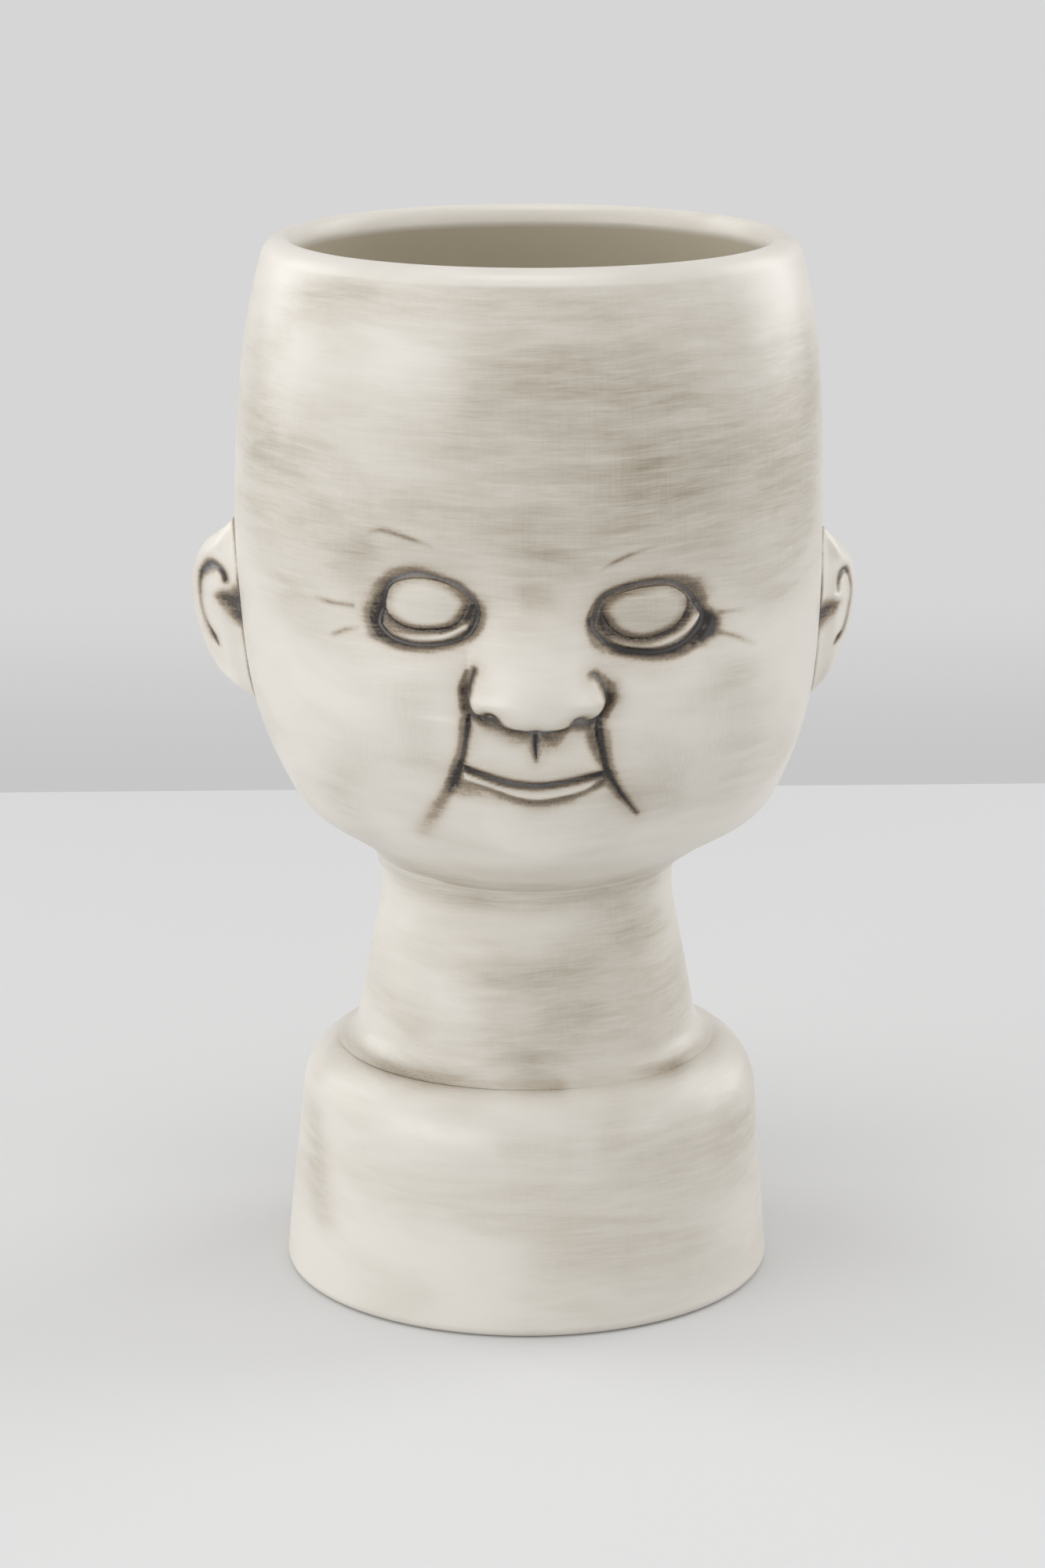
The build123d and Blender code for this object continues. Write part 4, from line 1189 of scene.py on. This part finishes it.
def settle_under_jaw(piece):
    """Lets the neck's flared top follow the underside of the head, which is not quite round."""
    side, depth, height = places_of(piece)
    above = np.maximum(height - HEAD_BASE, 0)
    wide, front, deep = sections(head_outer, HEAD_BASE + above)
    turn = np.arctan2(side, -depth)
    head_radius = 1 / np.hypot(np.sin(turn) / wide, np.cos(turn) / np.where(depth < 0, front, deep))
    limit = np.where(above > 0, head_radius + TUCK_OUT - TUCK_IN * above, np.inf)
    share = np.minimum(1, limit / np.maximum(np.hypot(side, depth), 1))
    lean = np.where(above > 0, np.interp(height, SWAY_HEIGHTS, SWAY), 0)
    move_points(piece, side * share + lean, depth * share, height)


def paint(piece, patches):
    """Stain on the front of a turned piece: patches, partly painted shade, and what stayed in the joint of
    neck and plinth.
    """
    side, depth, height = places_of(piece)
    front = soft_step(*STAIN_ENDS, depth)
    away = np.hypot(np.hypot(side, depth) - JOINT_RADIUS, height - JOINT_HEIGHT)
    in_joint = np.interp(side, JOINT_SIDES, JOINT_STAIN)
    stain = {
        "patch": smeared(patches, side, height) + in_joint * np.exp(-(away / JOINT_PATCH) ** 2),
        "smear": in_joint * np.exp(-(away / JOINT_SMEAR) ** 2),
    }
    carry(piece.data, {key: values * front for key, values in stain.items()})


settle_under_jaw(neck)
paint(neck, NECK_PATCHES)
ride_for(neck, "neck")

# %% Plinth
RECESS = 2.5
RING_RADIUS = 57
FLOOR_TOP = 8.5

plinth = turn_piece("plinth_drum", {
    "Underside middle": (0, RECESS, 0),
    "Underside edge": (RING_RADIUS, RECESS, 1),
    "Ring inside": (RING_RADIUS, 0, 0.8),
    "Foot": (66, 0, 2.6),
    "Shoulder": (60.3, PLINTH_HEIGHT, 16),
    "Passage top": (PASSAGE_FOOT, PLINTH_HEIGHT, 0),
    "Passage bottom": (PASSAGE_FOOT, PLINTH_HEIGHT - WALL, 0),
    "Ceiling edge": (54.4, PLINTH_HEIGHT - WALL, 6.5),
    "Floor edge": (60, FLOOR_TOP, 5),
    "Floor middle": (0, FLOOR_TOP, 0),
}, closed=False)
# Stain, and partly painted shade on the side away from the key lamp.
PLINTH_PATCHES = [
    ([(4, 41.7), (24, 40.7), (50, 39.7)], (13, 16, 16), (0.15, 0.3, 0.3)),
    ([(-6, 51.7), (8, 49.7)], (4,), (0.2,)),
    ([(22, 58.7), (20, 51.7)], (4,), (0.15,)),
    ([(6, 23.7), (40, 21.7)], (8,), (0.15, 0.18)),
    ([(-58, 47.7), (-57, 33.7), (-56, 21.7)], (3.5,), (0.3, 0.4, 0.3)),
    ([(55, 49.7), (57, 33.7)], (6,), (0.15,)),
    ([(-30, 31.7), (6, 29.7)], (7,), (0.08, 0.15)),
]
PLINTH_LEAN = 0.7
LEAN_SPAN = (10, PLINTH_HEIGHT - 12)


def lean_over(piece):
    """Moves the plinth's upper part a little to the vase's left, where the casting has slumped."""
    side, depth, height = places_of(piece)
    move_points(piece, side + PLINTH_LEAN * soft_step(*LEAN_SPAN, height), depth, height)


lean_over(plinth)
paint(plinth, PLINTH_PATCHES)
ride_for(plinth, "plinth")

# %% [markdown]
# ## Stage and light
# A pale floor that runs on flat behind the vase as a slightly darker backdrop, so that no wall stands in the
# way of a view from behind. The light is a soft tent: one large lamp in front on the left, a weaker one on
# the right, one above, and a broad one on each side, a little behind the vase, for the bright edges.

# %% Floor and backdrop
FLOOR = "#DADADA"
FLOOR_FRONT = "#E1E1E1"
BACKDROP = "#D6D6D6"
BACKDROP_LOW = "#C7C7C7"
FLOOR_EVEN = -0.02
FLOOR_FRONT_FROM = -0.16
BACKDROP_AT = 0.509
BACKDROP_EVEN = 0.887
SHEET_REACH = 8


def graded_paint(name, start, stop, first, second, glow):
    """Matt paint that changes from one colour to another between two depths, in metres."""
    material = bpy.data.materials.new(name)
    material.use_nodes = True
    tree = material.node_tree
    tree.nodes.clear()
    spot = add(tree, "ShaderNodeTexCoord", output="Object")
    depth = add(tree, "ShaderNodeSeparateXYZ", {"Vector": spot}, "Y")
    share = add(tree, "ShaderNodeMapRange", {"Value": depth, "From Min": start, "From Max": stop},
                interpolation_type="SMOOTHSTEP")
    shade = add(tree, "ShaderNodeMix", {0: share, 6: linear(first), 7: linear(second)}, 2, data_type="RGBA")
    surface = add(tree, "ShaderNodeBsdfDiffuse", {"Color": shade})
    if glow:
        even = add(tree, "ShaderNodeEmission", {"Color": shade})
        for ray in ("Is Camera Ray", "Is Glossy Ray", "Is Transmission Ray"):
            seen = add(tree, "ShaderNodeLightPath", output=ray)
            surface = add(tree, "ShaderNodeMixShader", {0: seen, 1: surface, 2: even})
    add(tree, "ShaderNodeOutputMaterial", {"Surface": surface})
    return material


def sheet_of(name, near, far, material):
    """Flat sheet on the ground from one depth to another, in metres."""
    side = SHEET_REACH
    mesh = bpy.data.meshes.new(name)
    mesh.from_pydata([(-side, near, 0), (side, near, 0), (side, far, 0), (-side, far, 0)], [], [(0, 1, 2, 3)])
    mesh.materials.append(material)
    sheet = bpy.data.objects.new(name, mesh)
    scene.collection.objects.link(sheet)


floor_paint = graded_paint("floor_paint", FLOOR_EVEN, FLOOR_FRONT_FROM, FLOOR, FLOOR_FRONT, glow=False)
backdrop_paint = graded_paint("backdrop_paint", BACKDROP_AT, BACKDROP_EVEN, BACKDROP_LOW, BACKDROP, glow=True)
sheet_of("floor", -SHEET_REACH, BACKDROP_AT, floor_paint)
sheet_of("backdrop", BACKDROP_AT, SHEET_REACH, backdrop_paint)
print("the backdrop starts", BACKDROP_AT, "m behind the vase")

# %% Lamps


def lamp(name, place, target, size, watts):
    """Soft rectangular lamp that looks at its target."""
    data = bpy.data.lights.new(name, "AREA")
    data.shape = "RECTANGLE"
    data.size, data.size_y = size
    data.energy = watts
    light = bpy.data.objects.new(name, data)
    light.location = place
    light.rotation_euler = (Vector(target) - Vector(place)).to_track_quat("-Z", "Y").to_euler()
    scene.collection.objects.link(light)


AIM = (0, 0, 0.15)
WORLD_STRENGTH = 0.6
lamp("key", (-1.9, -1.5, 0.65), AIM, (1.9, 1.25), 18)
lamp("fill", (1.5, -0.9, 0.6), AIM, (1.0, 1.2), 3.6)
lamp("above", (-0.05, -0.25, 1.2), AIM, (0.5, 0.4), 2.2)
lamp("edge_left", (-1.25, 0.6, 0.65), AIM, (0.9, 1.2), 6.0)
lamp("edge_right", (1.25, 0.6, 0.65), AIM, (0.9, 1.2), 7.0)
world = bpy.data.worlds.new("studio")
world.use_nodes = True
world.node_tree.nodes["Background"].inputs["Color"].default_value = linear("#FFFFFF")
world.node_tree.nodes["Background"].inputs["Strength"].default_value = WORLD_STRENGTH
scene.world = world
scene.view_settings.view_transform = "Standard"
print("lamps:", ", ".join(light.name for light in bpy.data.lights))
